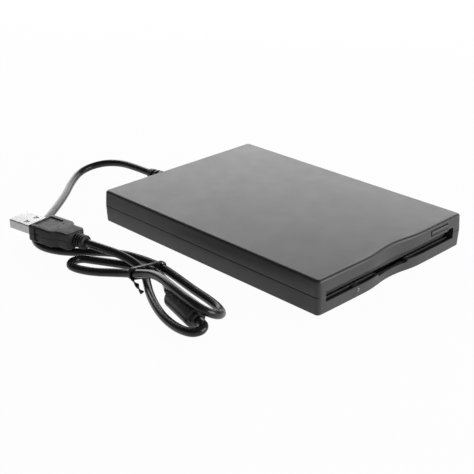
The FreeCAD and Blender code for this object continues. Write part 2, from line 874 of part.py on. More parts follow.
# ---------------------------------------------------------------- frame
def frame_collars():
    return [upright(frame_collar_radius, place, plate_top, plate_top + frame_plate)
            for place in frame_screw_places()]


def post(x_middle, height, y0, y1):
    return across(x_middle - post_half, x_middle + post_half, y0, y1, plate_top, height)


def make_drive_frame():
    half = frame_half_width
    plate = across(-half, half, frame_front, frame_rear, floor_z, plate_top)
    pieces = [plate] + frame_collars()
    for side in LEFT_AND_RIGHT:
        wall = sorted((side * (half - frame_side), side * half))
        pieces.append(across(*wall, frame_front, frame_rear, floor_z, wall_top))
        inner = sorted((side * (half - frame_flange), side * half))
        flange_low = plate_top + frame_flange_low
        pieces.append(across(*inner, frame_rear - frame_side, frame_rear, flange_low, wall_top))
    rod_z = plate_top + guide_rod_height
    spindle_z = plate_top + screw_height
    post_rear = rod_front() + post_depth
    pieces.append(post(guide_rod_x, rod_z + guide_post_rise, rod_front(), post_rear))
    pieces.append(post(guide_rod_x, rod_z + guide_post_rise, carriage_rear + running_gap, frame_rear))
    pieces.append(post(screw_x, spindle_z + screw_post_rise, rod_front(), post_rear))
    cradle_half = stepper_radius - cut_over
    pieces.append(across(screw_x - cradle_half, screw_x + cradle_half, frame_rear - stepper_length, frame_rear,
                         plate_top, spindle_z - stepper_radius + cradle_rise))
    frame = fuse(pieces)
    screw_axis_x = disk_path_x + screw_x
    motor_front = V(screw_axis_x, frame_rear - stepper_length - cut_over, spindle_z)
    motor_rear = V(screw_axis_x, frame_rear + cut_over, spindle_z)
    frame = frame.cut(rod(stepper_radius + pin_fit, motor_front, motor_rear))
    frame = frame.cut(guide_rod(screw_fit, cut_over))
    frame = frame.cut(rod(lead_screw_journal + pin_fit, V(screw_axis_x, rod_front() - cut_over, spindle_z),
                          V(screw_axis_x, post_rear + cut_over, spindle_z)))
    collar_top = plate_top + frame_plate + cut_over
    for place in frame_screw_places():
        frame = frame.cut(upright(screw_shank_radius + screw_fit, place, floor_z - cut_over, collar_top))
    frame = frame.cut(upright(bush_radius(), hub_place(), floor_z - cut_over, plate_top + cut_over))
    door_pin = rod(door_pin_radius + pin_fit, V(disk_path_x - half - cut_over, door_pivot_y, door_pivot_z),
                   V(disk_path_x + half + cut_over, door_pivot_y, door_pivot_z))
    frame = frame.cut(door_pin)
    slack = drop_pin_radius + drop_pin_slack
    for y in drop_pins_y:
        frame = frame.cut(across(-half - cut_over, half + cut_over, y - slack, y + slack,
                                 drop_pin_z - carrier_drop - slack, drop_pin_z + slack))
    return frame


def rod_front():
    return disk_rear_y + running_gap


def guide_rod(extra=0.0, overrun=0.0):
    z = plate_top + guide_rod_height
    x = disk_path_x + guide_rod_x
    rear = frame_rear - rod_end_gap + overrun
    return rod(guide_rod_radius + extra, V(x, rod_front() - overrun, z), V(x, rear, z))


def make_cover_plate():
    front = frame_front + cover_plate_setback
    plate = across(-frame_half_width, frame_half_width, front, frame_rear, wall_top, frame_top)
    for side in LEFT_AND_RIGHT:
        tab_x = disk_path_x + side * spring_x
        tab = box(tab_x - spring_tab_half, tab_x + spring_tab_half, spring_tab_y, spring_tab_y + cover_plate,
                  slide_top_z + running_gap, wall_top)
        plate = plate.fuse(tab)
    return plate.removeSplitter()


def make_slide_springs():
    springs = []
    z = (slide_top_z + wall_top) / 2
    for side in LEFT_AND_RIGHT:
        start = V(disk_path_x + side * spring_x, spring_tab_y + cover_plate, z)
        end = start + Y_AXIS * spring_length
        hollow = rod(spring_radius - spring_wall, start + Y_AXIS * cut_over, end - Y_AXIS * cut_over)
        springs.append(rod(spring_radius, start, end).cut(hollow))
    return compound(springs)


# ---------------------------------------------------------------- spindle
def hub_place():
    return V(disk_path_x, hub_y, 0)


def bush_radius():
    return spindle_shaft_radius + spindle_bush_wall


def rotor_z():
    return plate_top + coil_height + running_gap


def make_spindle_bush():
    outer = upright(bush_radius(), hub_place(), floor_z + pin_fit, plate_top + coil_height)
    bore_top = plate_top + coil_height + cut_over
    return outer.cut(upright(spindle_shaft_radius + pin_fit, hub_place(), floor_z - cut_over, bore_top))


def make_spindle_coils():
    coils = []
    coil_top = plate_top + coil_height + cut_over
    for index in range(coil_count):
        angle = math.radians(360 / coil_count * index)
        place = hub_place() + V(math.cos(angle), math.sin(angle), 0) * coil_circle_radius
        coil = upright(coil_radius, place, plate_top, plate_top + coil_height)
        coils.append(coil.cut(upright(coil_radius / 3, place, plate_top - cut_over, coil_top)))
    return compound(coils)


def boss_top():
    return rotor_z() + spindle_rotor_thickness + hub_boss_rise


def make_spindle_rotor():
    z = rotor_z()
    disc = upright(spindle_rotor_radius, hub_place(), z, z + spindle_rotor_thickness)
    boss = upright(hub_boss_radius, hub_place(), z, boss_top())
    shaft = upright(spindle_shaft_radius, hub_place(), floor_z + running_gap, slot_floor_z)
    return fuse([disc, boss, shaft])


def make_hub_magnet():
    z = boss_top()
    outer = upright(hub_boss_radius - magnet_rim, hub_place(), z, z + magnet_thickness)
    return outer.cut(upright(magnet_hole_radius, hub_place(), z - cut_over, z + magnet_thickness + cut_over))


def make_drive_pin():
    z = boss_top()
    place = hub_place() + X_AXIS * drive_pin_offset
    return upright(drive_pin_radius, place, z, z + drive_pin_height)


# ---------------------------------------------------------------- head stepping
def make_stepper_motor():
    z = plate_top + screw_height
    x = disk_path_x + screw_x
    start = V(x, frame_rear - stepper_length, z)
    can = rod(stepper_radius, start, V(x, frame_rear - rod_end_gap, z))
    bore_end = start + Y_AXIS * motor_bore_depth
    return can.cut(rod(lead_screw_journal + pin_fit, start - Y_AXIS * cut_over, bore_end))


def make_lead_screw():
    z = plate_top + screw_height
    x = disk_path_x + screw_x
    front = rod_front() + post_depth + running_gap
    rear = frame_rear - stepper_length - running_gap
    screw = rod(lead_screw_radius, V(x, front, z), V(x, rear, z))
    journal = rod(lead_screw_journal, V(x, rod_front() + screw_nose_gap, z), V(x, rear + screw_tail, z))
    return fuse([screw, journal])


def make_guide_rod():
    return guide_rod()


def make_head_carriage():
    low = plate_top + carriage_low_gap
    rod_z = plate_top + guide_rod_height
    body_top = rod_z + carriage_above_rod
    body = across(carriage_left, carriage_right, carriage_front, carriage_rear, low, body_top)
    arm_front = head_y - head_arm_margin
    lower_arm = across(-lower_arm_half, lower_arm_half, arm_front, carriage_front + cut_over,
                       low, low + lower_arm_thickness)
    pieces = [body, lower_arm]
    ear_front = carriage_rear - ear_length
    for side in LEFT_AND_RIGHT:
        ear = sorted((side * ear_inner, side * ear_outer))
        pieces.append(across(*ear, ear_front, carriage_rear, body_top - ear_below, arm_z + ear_above_arm))
    finger_rear = frame_rear - stepper_length - running_gap - cut_over
    finger_front = finger_rear - follower_thickness
    finger_z = plate_top + screw_height
    inward = screw_x - lead_screw_radius - running_gap / 3
    pieces.append(across(follower_root_x, inward, finger_front, finger_rear,
                         finger_z - follower_half, finger_z + follower_half))
    pieces.append(across(follower_web_left, carriage_right, finger_front, carriage_front + cut_over,
                         finger_z - follower_web, finger_z + follower_half))
    pieces.append(across(flag_left, flag_right, ear_front, carriage_rear, rod_z - flag_half, rod_z + flag_half))
    carriage = fuse(pieces)
    carriage = carriage.cut(guide_rod(pin_fit, carriage_length))
    pivot = arm_pivot()
    reach = X_AXIS * (ear_outer + cut_over)
    return carriage.cut(rod(arm_pin_radius + pin_fit, pivot - reach, pivot + reach))


def arm_pivot():
    return V(disk_path_x, carriage_rear - arm_pivot_inset, arm_z + upper_arm_thickness / 2)


def make_lower_head():
    low = plate_top + carriage_low_gap + lower_arm_thickness
    high = slot_floor_z + head_above_slot
    return across(-head_half, head_half, head_y - head_half, head_y + head_half, low, high)


def make_upper_head_arm():
    pivot = arm_pivot()
    top = arm_z + upper_arm_thickness
    rear = carriage_rear - arm_rear_gap
    arm = across(-arm_half, arm_half, head_y - head_arm_margin, rear, arm_z, top)
    root = across(-arm_root_half, arm_root_half, carriage_rear - arm_root_length, rear, arm_z, top)
    pin = rod(arm_pin_radius, pivot - X_AXIS * arm_pin_half, pivot + X_AXIS * arm_pin_half)
    return fuse([arm, root, pin])


def make_upper_head():
    low = disk_top_z + upper_head_gap
    return across(-head_half, head_half, head_y - head_half, head_y + head_half, low, arm_z)


def make_head_load_spring():
    top = arm_z + upper_arm_thickness
    return across(-load_spring_half, load_spring_half, carriage_front - load_spring_front,
                  carriage_rear - load_spring_rear, top, top + load_spring_thickness)


def make_track_sensor():
    """Forked light sensor that the carriage's flag enters at the outermost track."""
    middle = plate_top + guide_rod_height
    front = carriage_rear - sensor_depth
    body = across(sensor_left, sensor_right, front, carriage_rear, plate_top, middle + sensor_height)
    gap = across(sensor_left + sensor_wall, sensor_right + cut_over, front - sensor_slot_over,
                 carriage_rear + cut_over, middle - sensor_slot_half, middle + sensor_slot_half)
    return body.cut(gap)


# ---------------------------------------------------------------- electronics
def board_front():
    return carrier_front + board_front_inset


def board_top():
    return plate_top + board_thickness


def board_half():
    return frame_half_width - board_side_gap


def board_arm_left():
    return board_arm_from_side - frame_half_width


def make_control_board():
    rear = board_front() + board_depth
    half = board_half()
    front_part = across(-half, half, board_front(), rear, plate_top, board_top())
    side_part = across(board_arm_left(), sensor_left - board_arm_to_sensor, rear - cut_over,
                       frame_rear - rod_end_gap, plate_top, board_top())
    return fuse([front_part, side_part])


def make_control_chips():
    chips = []
    for left, right, front, rear in chip_spots:
        chips.append(across(left, right, board_front() + front, board_front() + rear,
                            board_top(), board_top() + chip_height))
    left = board_arm_left() + side_chip_inset
    chips.append(across(left, left + side_chip_width, board_front() + side_chip_front,
                        board_front() + side_chip_rear, board_top(), board_top() + chip_height))
    return compound(chips)


def switch_places():
    outer = board_half() - switch_edge_inset
    rows = (-outer, outer - switch_spacing, outer)
    return [V(disk_path_x + x, board_front() + switch_inset, 0) for x in rows]


def make_detector_switches():
    switches = []
    high = board_top() + switch_height
    for place in switch_places():
        body = box(place.x - switch_half, place.x + switch_half, place.y - switch_half, place.y + switch_half,
                   board_top(), high)
        bore = upright(plunger_radius + plunger_fit, place, board_top() + switch_floor, high + cut_over)
        switches.append(body.cut(bore))
    return compound(switches)


def make_plunger(place):
    low = board_top() + switch_floor + plunger_travel + pin_fit
    high = disk_low_z - carrier_drop + plunger_travel - pin_fit
    return upright(plunger_radius, place, low, high)


def make_activity_lamp():
    low = board_top()
    front = board_front() + pin_fit
    return box(lamp_x - lamp_half, lamp_x + lamp_half, front, front + lamp_depth, low, low + lamp_depth)


def socket_rear():
    return frame_rear - rod_end_gap


def make_rear_socket():
    return across(socket_left, socket_right, socket_rear() - socket_depth, socket_rear(),
                  board_top(), board_top() + socket_height)


def interface_top():
    return interface_z + interface_thickness


def standoff_places():
    x = interface_half - interface_hole_from_side
    return [V(side * x, interface_rear - interface_hole_from_rear, 0) for side in LEFT_AND_RIGHT]


def make_interface_board():
    board = box(-interface_half, interface_half, interface_front, interface_rear, interface_z, interface_top())
    for place in standoff_places():
        board = board.cut(upright(standoff_hole_radius, place, interface_z - cut_over, interface_top() + cut_over))
    return board


def make_board_standoffs():
    """Pillars under the interface board with pegs through its holes."""
    pillars = []
    for place in standoff_places():
        pillar = upright(standoff_radius, place, floor_z, interface_z)
        peg = upright(standoff_hole_radius - pin_fit, place, interface_z, interface_top() + standoff_peg_rise)
        pillars.append(fuse([pillar, peg]))
    return compound(pillars)


def on_board(spot, height):
    """A block on the interface board, its y values counted from the board's front edge."""
    left, right, front, rear = spot
    low = interface_top()
    return box(left, right, interface_front + front, interface_front + rear, low, low + height)


def make_bridge_chip():
    return on_board(bridge_chip_spot, bridge_chip_height)


def make_crystal():
    shape = on_board(crystal_spot, crystal_height)
    upright_edges = [edge for edge in shape.Edges if edge.BoundBox.ZLength > crystal_height / 2]
    return shape.makeFillet(crystal_round, upright_edges)


def make_capacitors():
    top = interface_top()
    spots_x = (interface_half - right_capacitor_from_side, left_capacitor_from_side - interface_half)
    y = interface_front + capacitor_inset
    cans = [upright(capacitor_radius, V(x, y, 0), top, top + capacitor_height) for x in spots_x]
    rear = small_part_inset + small_part_depth
    small_parts = [on_board((x, x + small_part_width, small_part_inset, rear), small_part_height)
                   for x in small_part_spots_x]
    return compound(cans + small_parts)


def make_cord_header():
    return on_board((cord_exit_x - header_half, cord_exit_x + header_half, header_inset,
                     header_inset + header_depth), header_height)


def make_cord_leads():
    z = interface_top() + lead_rise
    first = cord_exit_x - lead_pitch * (lead_count - 1) / 2
    rear = cavity_back - strain_relief_flange_depth
    leads = []
    for index in range(lead_count):
        x = first + lead_pitch * index
        leads.append(rod(lead_radius, V(x, header_rear, z), V(x, rear, z)))
    return compound(leads)


def make_board_socket():
    return on_board((disk_path_x + socket_left, disk_path_x + socket_right, board_socket_inset,
                     board_socket_inset + board_socket_depth), board_socket_height)


def make_ribbon():
    """Flat cable that steps up from the drive's rear socket to the interface board's socket."""
    low = board_top() + ribbon_low_rise
    high = interface_top() + ribbon_high_rise
    front = socket_rear()
    rear = interface_front + board_socket_inset
    turn = (frame_rear + interface_front) / 2
    sheet = ribbon_sheet
    corners = [V(0, front, low), V(0, turn, low), V(0, turn, high), V(0, rear, high),
               V(0, rear, high + sheet), V(0, turn - sheet, high + sheet), V(0, turn - sheet, low + sheet),
               V(0, front, low + sheet)]
    width = socket_right - socket_left - 2 * ribbon_inset
    ribbon = Part.Face(Part.makePolygon(corners + corners[:1])).extrude(V(width, 0, 0))
    ribbon.translate(V(disk_path_x + socket_left + ribbon_inset, 0, 0))
    return ribbon


# ---------------------------------------------------------------- cord
# The cord leaves the casing, arches round to the plug, doubles back beneath it and lies in two
# flat loops drawn together by a tie. The bead sits at the start of the last length, which
# passes under the bundle and climbs back to the plug. Points count y from the casing's back.
arch = [
    V(-6.2, 29, 9.3), V(-6.2, 43, 8.4), V(-11, 54, 6.6), V(-22, 57.6, 4.4), V(-34.3, 50.3, 2.8),
    V(-46.3, 39.4, 2), V(-60, 28.4, 1.95), V(-74.6, 17.6, 1.95), V(-88.3, 7.8, 1.95),
]
turn_under_plug = [
    V(-94.2, -5, 1.95), V(-89.5, -18.5, 1.95), V(-79, -28.2, 1.95), V(-71.2, -38.5, 1.95), V(-69, -51.2, 2.5),
    V(-68.7, -63.5, 3.1),
]
front_loop = [
    V(-70, -76, 2.5), V(-72, -88.5, 1.95), V(-73.5, -100, 1.95), V(-75.6, -108.6, 1.95), V(-79, -114, 2.9),
    V(-83.8, -117.3, 5.2), V(-88.9, -118.4, 8.2),
]
over_the_bead = [
    V(-92.2, -115.9, 10.6), V(-92.4, -110.6, 11.7), V(-91.1, -103.9, 11.7), V(-89.6, -96.8, 11.7),
    V(-87.9, -90.4, 11.5), V(-86, -83.9, 10.9), V(-84.3, -76.9, 9.5), V(-83.9, -70.4, 7.4), V(-84.4, -64.2, 5.3),
]
rear_loop = [
    V(-86.1, -54.7, 2.9), V(-93.1, -43.8, 1.95), V(-96.9, -32.6, 1.95), V(-93.6, -29, 1.95), V(-89, -30, 1.95),
    V(-85.2, -34.4, 1.95), V(-80.7, -43, 1.95), V(-76.5, -53, 2.4), V(-72.8, -63.5, 3.1),
]
bead_length_of_cord = [V(-76.1, -75.5, 2.4), V(-80.6, -82, 3.4), bead_start, bead_end]
outer_loop = [
    V(-93.5, -119.2, 4.8), V(-97, -120.6, 4.4), V(-99.9, -117.6, 3.5), V(-99.8, -109, 2.4), V(-97.2, -98, 1.95),
    V(-92.6, -87.2, 1.95), V(-87.9, -78.6, 1.95), V(-83.6, -72, 2.1), V(-80.3, -67, 2.8), V(-78, -61.4, 4.7),
]
rise_to_plug = [V(-78.3, -55, 6.3), V(-79.9, -47, 7.8)]


def plug_axis():
    """Unit vector from the plug's shell back along its cord."""
    turn = math.radians(plug_turn)
    return V(math.sin(turn), -math.cos(turn), 0)


def from_back(point):
    return point + Y_AXIS * back_y


def plug_place():
    return from_back(plug_front)


def plug_tail():
    return plug_place() + plug_axis() * (plug_body_length + plug_waist_length + plug_relief_length)


def cord_route():
    start = V(cord_exit_x, back_y + strain_relief_length, cord_exit_z)
    middle = arch + turn_under_plug + front_loop + over_the_bead + rear_loop + bead_length_of_cord
    middle += outer_loop + rise_to_plug
    return [start] + [from_back(point) for point in middle] + [plug_tail() + plug_axis() * plug_run, plug_tail()]


def tube_path(points):
    """Straight runs joined by tangent arcs, each as large as its two runs allow."""
    edges = []
    radii = []
    start = points[0]
    for before, point, after in zip(points, points[1:], points[2:]):
        back = before - point
        onward = after - point
        setback = 0.45 * min(back.Length, onward.Length)
        back.normalize()
        onward.normalize()
        half_turn = (math.pi - back.getAngle(onward)) / 2
        radius = setback / math.tan(half_turn)
        radii.append(radius)
        bisector = (back + onward).normalize()
        nearest = math.hypot(setback, radius) - radius
        arc_start = point + back * setback
        arc_end = point + onward * setback
        edges.append(Part.LineSegment(start, arc_start).toShape())
        edges.append(Part.Arc(arc_start, point + bisector * nearest, arc_end).toShape())
        start = arc_end
    edges.append(Part.LineSegment(start, points[-1]).toShape())
    return Part.Wire(edges), radii


def make_usb_cord():
    points = cord_route()
    path, radii = tube_path(points)
    ring = Part.Wire(Part.makeCircle(cord_radius, points[0], points[1] - points[0]))
    tube = path.makePipeShell([ring], True, False)
    wanted = math.pi * cord_radius ** 2 * path.Length
    print("cord length %.1f, radii %s" % (path.Length, " ".join("%.1f" % radius for radius in radii)))
    print("cord volume %.1f against section times length %.1f" % (tube.Volume, wanted))
    return tube


def bead_centre():
    middle = from_back((bead_start + bead_end) * 0.5)
    return middle + (bead_end - bead_start).normalize() * bead_shift


def bead_rod(radius, length):
    half = (bead_end - bead_start).normalize() * (length / 2)
    return rod(radius, bead_centre() - half, bead_centre() + half)


def make_ferrite_moulding():
    body = bead_rod(bead_radius, bead_length)
    rims = [edge for edge in body.Edges if len(edge.Vertexes) == 1]
    body = body.makeFillet(bead_end_round, rims)
    necks = bead_rod(bead_neck_radius, bead_length + 2 * bead_neck_length)
    bore = bead_rod(cord_radius + sleeve_fit, bead_length + 4 * bead_neck_length)
    pocket = bead_rod(bead_radius - core_cover + sleeve_fit, core_length + 2 * sleeve_fit)
    return fuse([body, necks]).cut(bore).cut(pocket)


def make_ferrite_core():
    outer = bead_radius - core_cover
    return bead_rod(outer, core_length).cut(bead_rod(outer - core_wall, core_length + 2))


def tie_strands():
    """Where the cord's centre line passes through the tie, seen along +Y."""
    path, radii = tube_path(cord_route())
    right = -casing_width / 2
    left = right - tie_plane_reach
    corners = [V(left, tie_y, 0), V(right, tie_y, 0), V(right, tie_y, tie_plane_top), V(left, tie_y, tie_plane_top)]
    plane = Part.Face(Part.makePolygon(corners + corners[:1]))
    return [vertex.Point for vertex in path.section(plane).Vertexes]


def hull(points):
    """Convex hull of points in the XZ plane, anticlockwise seen along +Y."""
    def half_hull(ordered):
        chain = []
        for point in ordered:
            while len(chain) > 1 and turns_inward(chain[-2], chain[-1], point):
                chain.pop()
            chain.append(point)
        return chain[:-1]

    def turns_inward(first, second, third):
        return (second.x - first.x) * (third.z - first.z) <= (second.z - first.z) * (third.x - first.x)

    ordered = sorted(points, key=lambda point: point.x)
    return half_hull(ordered) + half_hull(ordered[::-1])


def tie_loop(radius):
    """Outline of a band pulled round the bundle: straight spans and an arc at each outer strand."""
    centres = hull(tie_strands())
    spans = []
    for centre, follower in zip(centres, centres[1:] + centres[:1]):
        along = (follower - centre).normalize()
        outward = V(along.z, 0, -along.x) * radius
        spans.append((centre + outward, follower + outward))
    edges = []
    for index, span in enumerate(spans):
        centre = centres[(index + 1) % len(centres)]
        next_start = spans[(index + 1) % len(spans)][0]
        outward = ((span[1] - centre) + (next_start - centre)).normalize() * radius
        edges.append(Part.LineSegment(span[0], span[1]).toShape())
        edges.append(Part.Arc(span[1], centre + outward, next_start).toShape())
    return Part.Wire(edges)


def make_cord_tie():
    inner_radius = cord_radius + tie_slack
    outer = Part.Face(tie_loop(inner_radius + tie_thickness)).extrude(Y_AXIS * tie_width)
    inner = Part.Face(tie_loop(inner_radius)).extrude(Y_AXIS * tie_width)
    band = outer.cut(inner)
    band.translate(Y_AXIS * (-tie_width / 2))
    left = min(tie_strands(), key=lambda point: point.x)
    outer_radius = inner_radius + tie_thickness / 2
    root = V(left.x - outer_radius + tie_tail_shift, tie_y, left.z - outer_radius)
    heading = V(tie_tail_heading).normalize()
    tail = rod(tie_thickness, root, root + heading * tie_tail_length)
    return fuse([band, tail])


def plug_box(width, height, start, length):
    """Block centred on the plug's axis, starting a distance behind the plug's front."""
    return box(-width / 2, width / 2, -start - length, -start, -height / 2, height / 2)


def place_plug(shape):
    shape.rotate(V(0, 0, 0), Z_AXIS, plug_turn)
    shape.translate(plug_place())
    return shape


def lengthwise_edges(shape):
    return [edge for edge in shape.Edges if edge.BoundBox.YLength > cut_over]


def make_plug_overmould():
    body = plug_box(plug_body_width, plug_body_height, 0, plug_body_length)
    body = body.makeFillet(plug_body_round, lengthwise_edges(body))
    waist = plug_box(plug_waist_width, plug_body_height, plug_body_length, plug_waist_length)
    waist = waist.makeFillet(plug_waist_round, lengthwise_edges(waist))
    relief_start = -plug_body_length - plug_waist_length
    relief = Part.makeCylinder(plug_relief_radius, plug_relief_length, V(0, relief_start, 0), -Y_AXIS)
    plug = fuse([body, waist, relief])
    groove = plug_relief_length / (2 * plug_relief_grooves + 2)
    for index in range(plug_relief_grooves):
        start = V(0, relief_start - groove * (1 + 2 * index), 0)
        ring = Part.makeCylinder(plug_relief_radius + cut_over, groove, start, -Y_AXIS)
        core = Part.makeCylinder(plug_relief_radius - plug_relief_groove_depth, groove, start, -Y_AXIS)
        plug = plug.cut(ring.cut(core))
    grip_z = plug_body_height / 2 + cut_over
    for side in LEFT_AND_RIGHT:
        x = side * plug_body_width / 2
        sides = sorted((x - side * plug_grip_depth, x + side * cut_over))
        plug = plug.cut(box(*sides, plug_grip_rear - plug_body_length, -plug_grip_front, -grip_z, grip_z))
    pocket = plug_box(plug_shell_width + 2 * sleeve_fit, plug_shell_height + 2 * sleeve_fit,
                      -cut_over, plug_pocket + cut_over)
    return place_plug(plug.cut(pocket))


def make_plug_shell():
    outer = plug_box(plug_shell_width, plug_shell_height, -plug_shell_length, plug_shell_length + plug_pocket)
    outer = outer.makeFillet(plug_shell_round, lengthwise_edges(outer))
    hollow = plug_box(plug_shell_width - 2 * plug_shell_sheet, plug_shell_height - 2 * plug_shell_sheet,
                      -plug_shell_length - cut_over, plug_shell_length + plug_pocket + 2 * cut_over)
    shell = outer.cut(hollow)
    for side in LEFT_AND_RIGHT:
        middle = side * plug_window_x
        window = box(middle - plug_window_half, middle + plug_window_half, plug_window_start, plug_window_end,
                     -plug_shell_height, plug_shell_height)
        shell = shell.cut(window)
    return place_plug(shell)


def make_plug_tongue():
    half = plug_shell_width / 2 - plug_shell_sheet - tongue_fit
    low = plug_shell_sheet + tongue_fit - plug_shell_height / 2
    tongue = box(-half, half, -plug_pocket, plug_shell_length - tongue_setback,
                 tongue_low, tongue_low + tongue_height_in_plug)
    block = box(-half, half, -plug_pocket, tongue_block, low, tongue_low)
    return place_plug(fuse([tongue, block]))


def make_plug_contacts():
    contacts = []
    for index, x in enumerate(contact_spots_x):
        outermost = index in (0, len(contact_spots_x) - 1)
        tip = plug_shell_length - (outer_contact_setback if outermost else inner_contact_setback)
        contacts.append(box(x - contact_half, x + contact_half, tongue_block, tip, -tongue_low, tongue_low))
    return place_plug(compound(contacts))


# ---------------------------------------------------------------- writing the pieces
def main():
    os.makedirs("parts", exist_ok=True)
    makers = {
        "top_cover": make_top_cover,
        "bottom_cover": make_bottom_cover,
        "rubber_feet": make_rubber_feet,
        "case_screws": make_case_screws,
        "led_light_pipe": make_light_pipe,
        "cord_strain_relief": make_strain_relief,
        "eject_button": make_eject_button,
        "eject_slide": make_eject_slide,
        "slide_springs": make_slide_springs,
        "disk_carrier": make_disk_carrier,
        "shutter_lever": make_shutter_lever,
        "lever_spring": make_lever_spring,
        "dust_door": make_dust_door,
        "door_spring": make_door_spring,
        "drive_frame": make_drive_frame,
        "drive_cover_plate": make_cover_plate,
        "frame_screws": make_frame_screws,
        "spindle_bush": make_spindle_bush,
        "spindle_coils": make_spindle_coils,
        "spindle_rotor": make_spindle_rotor,
        "hub_magnet": make_hub_magnet,
        "hub_drive_pin": make_drive_pin,
        "stepper_motor": make_stepper_motor,
        "lead_screw": make_lead_screw,
        "guide_rod": make_guide_rod,
        "head_carriage": make_head_carriage,
        "lower_head": make_lower_head,
        "upper_head_arm": make_upper_head_arm,
        "upper_head": make_upper_head,
        "head_load_spring": make_head_load_spring,
        "track_zero_sensor": make_track_sensor,
        "control_board": make_control_board,
        "control_chips": make_control_chips,
        "detector_switches": make_detector_switches,
        "activity_lamp": make_activity_lamp,
        "rear_socket": make_rear_socket,
        "ribbon_cable": make_ribbon,
        "interface_board": make_interface_board,
        "board_standoffs": make_board_standoffs,
        "bridge_chip": make_bridge_chip,
        "clock_crystal": make_crystal,
        "board_capacitors": make_capacitors,
        "board_socket": make_board_socket,
        "cord_header": make_cord_header,
        "cord_leads": make_cord_leads,
        "usb_cord": make_usb_cord,
        "ferrite_moulding": make_ferrite_moulding,
        "ferrite_core": make_ferrite_core,
        "cord_tie": make_cord_tie,
        "plug_overmould": make_plug_overmould,
        "plug_shell": make_plug_shell,
        "plug_tongue": make_plug_tongue,
        "plug_contacts": make_plug_contacts,
    }
    for name, make in makers.items():
        export(make(), name)
    plunger_names = ("protect_plunger", "disk_plunger", "density_plunger")
    for name, place in zip(plunger_names, switch_places()):
        export(make_plunger(place), name)


main()
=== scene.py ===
import math

import bmesh
import bpy
from mathutils import Matrix, Vector


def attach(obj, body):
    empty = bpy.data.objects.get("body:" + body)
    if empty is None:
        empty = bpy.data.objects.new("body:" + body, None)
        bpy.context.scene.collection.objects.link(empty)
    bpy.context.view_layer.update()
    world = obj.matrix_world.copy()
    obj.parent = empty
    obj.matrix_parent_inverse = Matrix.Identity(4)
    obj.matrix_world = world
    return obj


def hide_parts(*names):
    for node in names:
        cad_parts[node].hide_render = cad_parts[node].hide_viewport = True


# Looks of the external floppy disk drive. Pieces are drawn in millimetres in the frame of the
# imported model: +Z up, slot towards -Y, rubber feet on z = 0.

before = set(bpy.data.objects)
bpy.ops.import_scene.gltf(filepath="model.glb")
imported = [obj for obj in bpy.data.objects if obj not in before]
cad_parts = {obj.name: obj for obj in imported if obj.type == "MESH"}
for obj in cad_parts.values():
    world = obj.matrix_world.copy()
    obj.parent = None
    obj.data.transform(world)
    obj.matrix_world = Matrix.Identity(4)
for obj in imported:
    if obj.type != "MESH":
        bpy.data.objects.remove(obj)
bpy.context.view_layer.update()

MM = 0.001
X = Vector((1, 0, 0))
Y = Vector((0, 1, 0))
Z = Vector((0, 0, 1))
CASING = "casing"

# Where the light pipe's tip, which glows as a painted highlight, ends and its dark stem starts, along Y and
# in metres.
PAINTED_GLINT_TIP_END = -0.0707
PAINTED_GLINT_TIP_START = -0.0703

FLOOR_GLOW_SHARE = 0.97
WORLD_LIGHT = 0.12


# ---------------------------------------------------------------- camera, floor and lamps
def aim(thing, place, target):
    thing.location = place
    thing.rotation_euler = (Vector(target) - Vector(place)).to_track_quat("-Z", "Y").to_euler()


def add_camera():
    lens = bpy.data.cameras.new("view_camera")
    lens.lens = 77.08
    lens.sensor_width = 36.0
    lens.clip_start = 0.01
    camera = bpy.data.objects.new("view_camera", lens)
    camera.location = (-0.33204, -0.30771, 0.20402)
    camera.rotation_euler = (math.radians(65.52), 0.0, math.radians(-44.66))
    bpy.context.scene.collection.objects.link(camera)
    bpy.context.scene.camera = camera


def add_softbox(name, place, target, width, height, radiance):
    lamp = bpy.data.lights.new(name, "AREA")
    lamp.shape = "RECTANGLE"
    lamp.size = width
    lamp.size_y = height
    lamp.energy = radiance * math.pi * width * height
    holder = bpy.data.objects.new(name, lamp)
    holder.visible_camera = False
    bpy.context.scene.collection.objects.link(holder)
    aim(holder, place, target)


def seen_directly(tree):
    """1 for rays that show the surroundings: straight, in a gloss or through glass."""
    path = tree.nodes.new("ShaderNodeLightPath")
    first = tree.nodes.new("ShaderNodeMath")
    first.operation = "MAXIMUM"
    tree.links.new(path.outputs["Is Camera Ray"], first.inputs[0])
    tree.links.new(path.outputs["Is Glossy Ray"], first.inputs[1])
    second = tree.nodes.new("ShaderNodeMath")
    second.operation = "MAXIMUM"
    tree.links.new(first.outputs[0], second.inputs[0])
    tree.links.new(path.outputs["Is Transmission Ray"], second.inputs[1])
    return second.outputs[0]


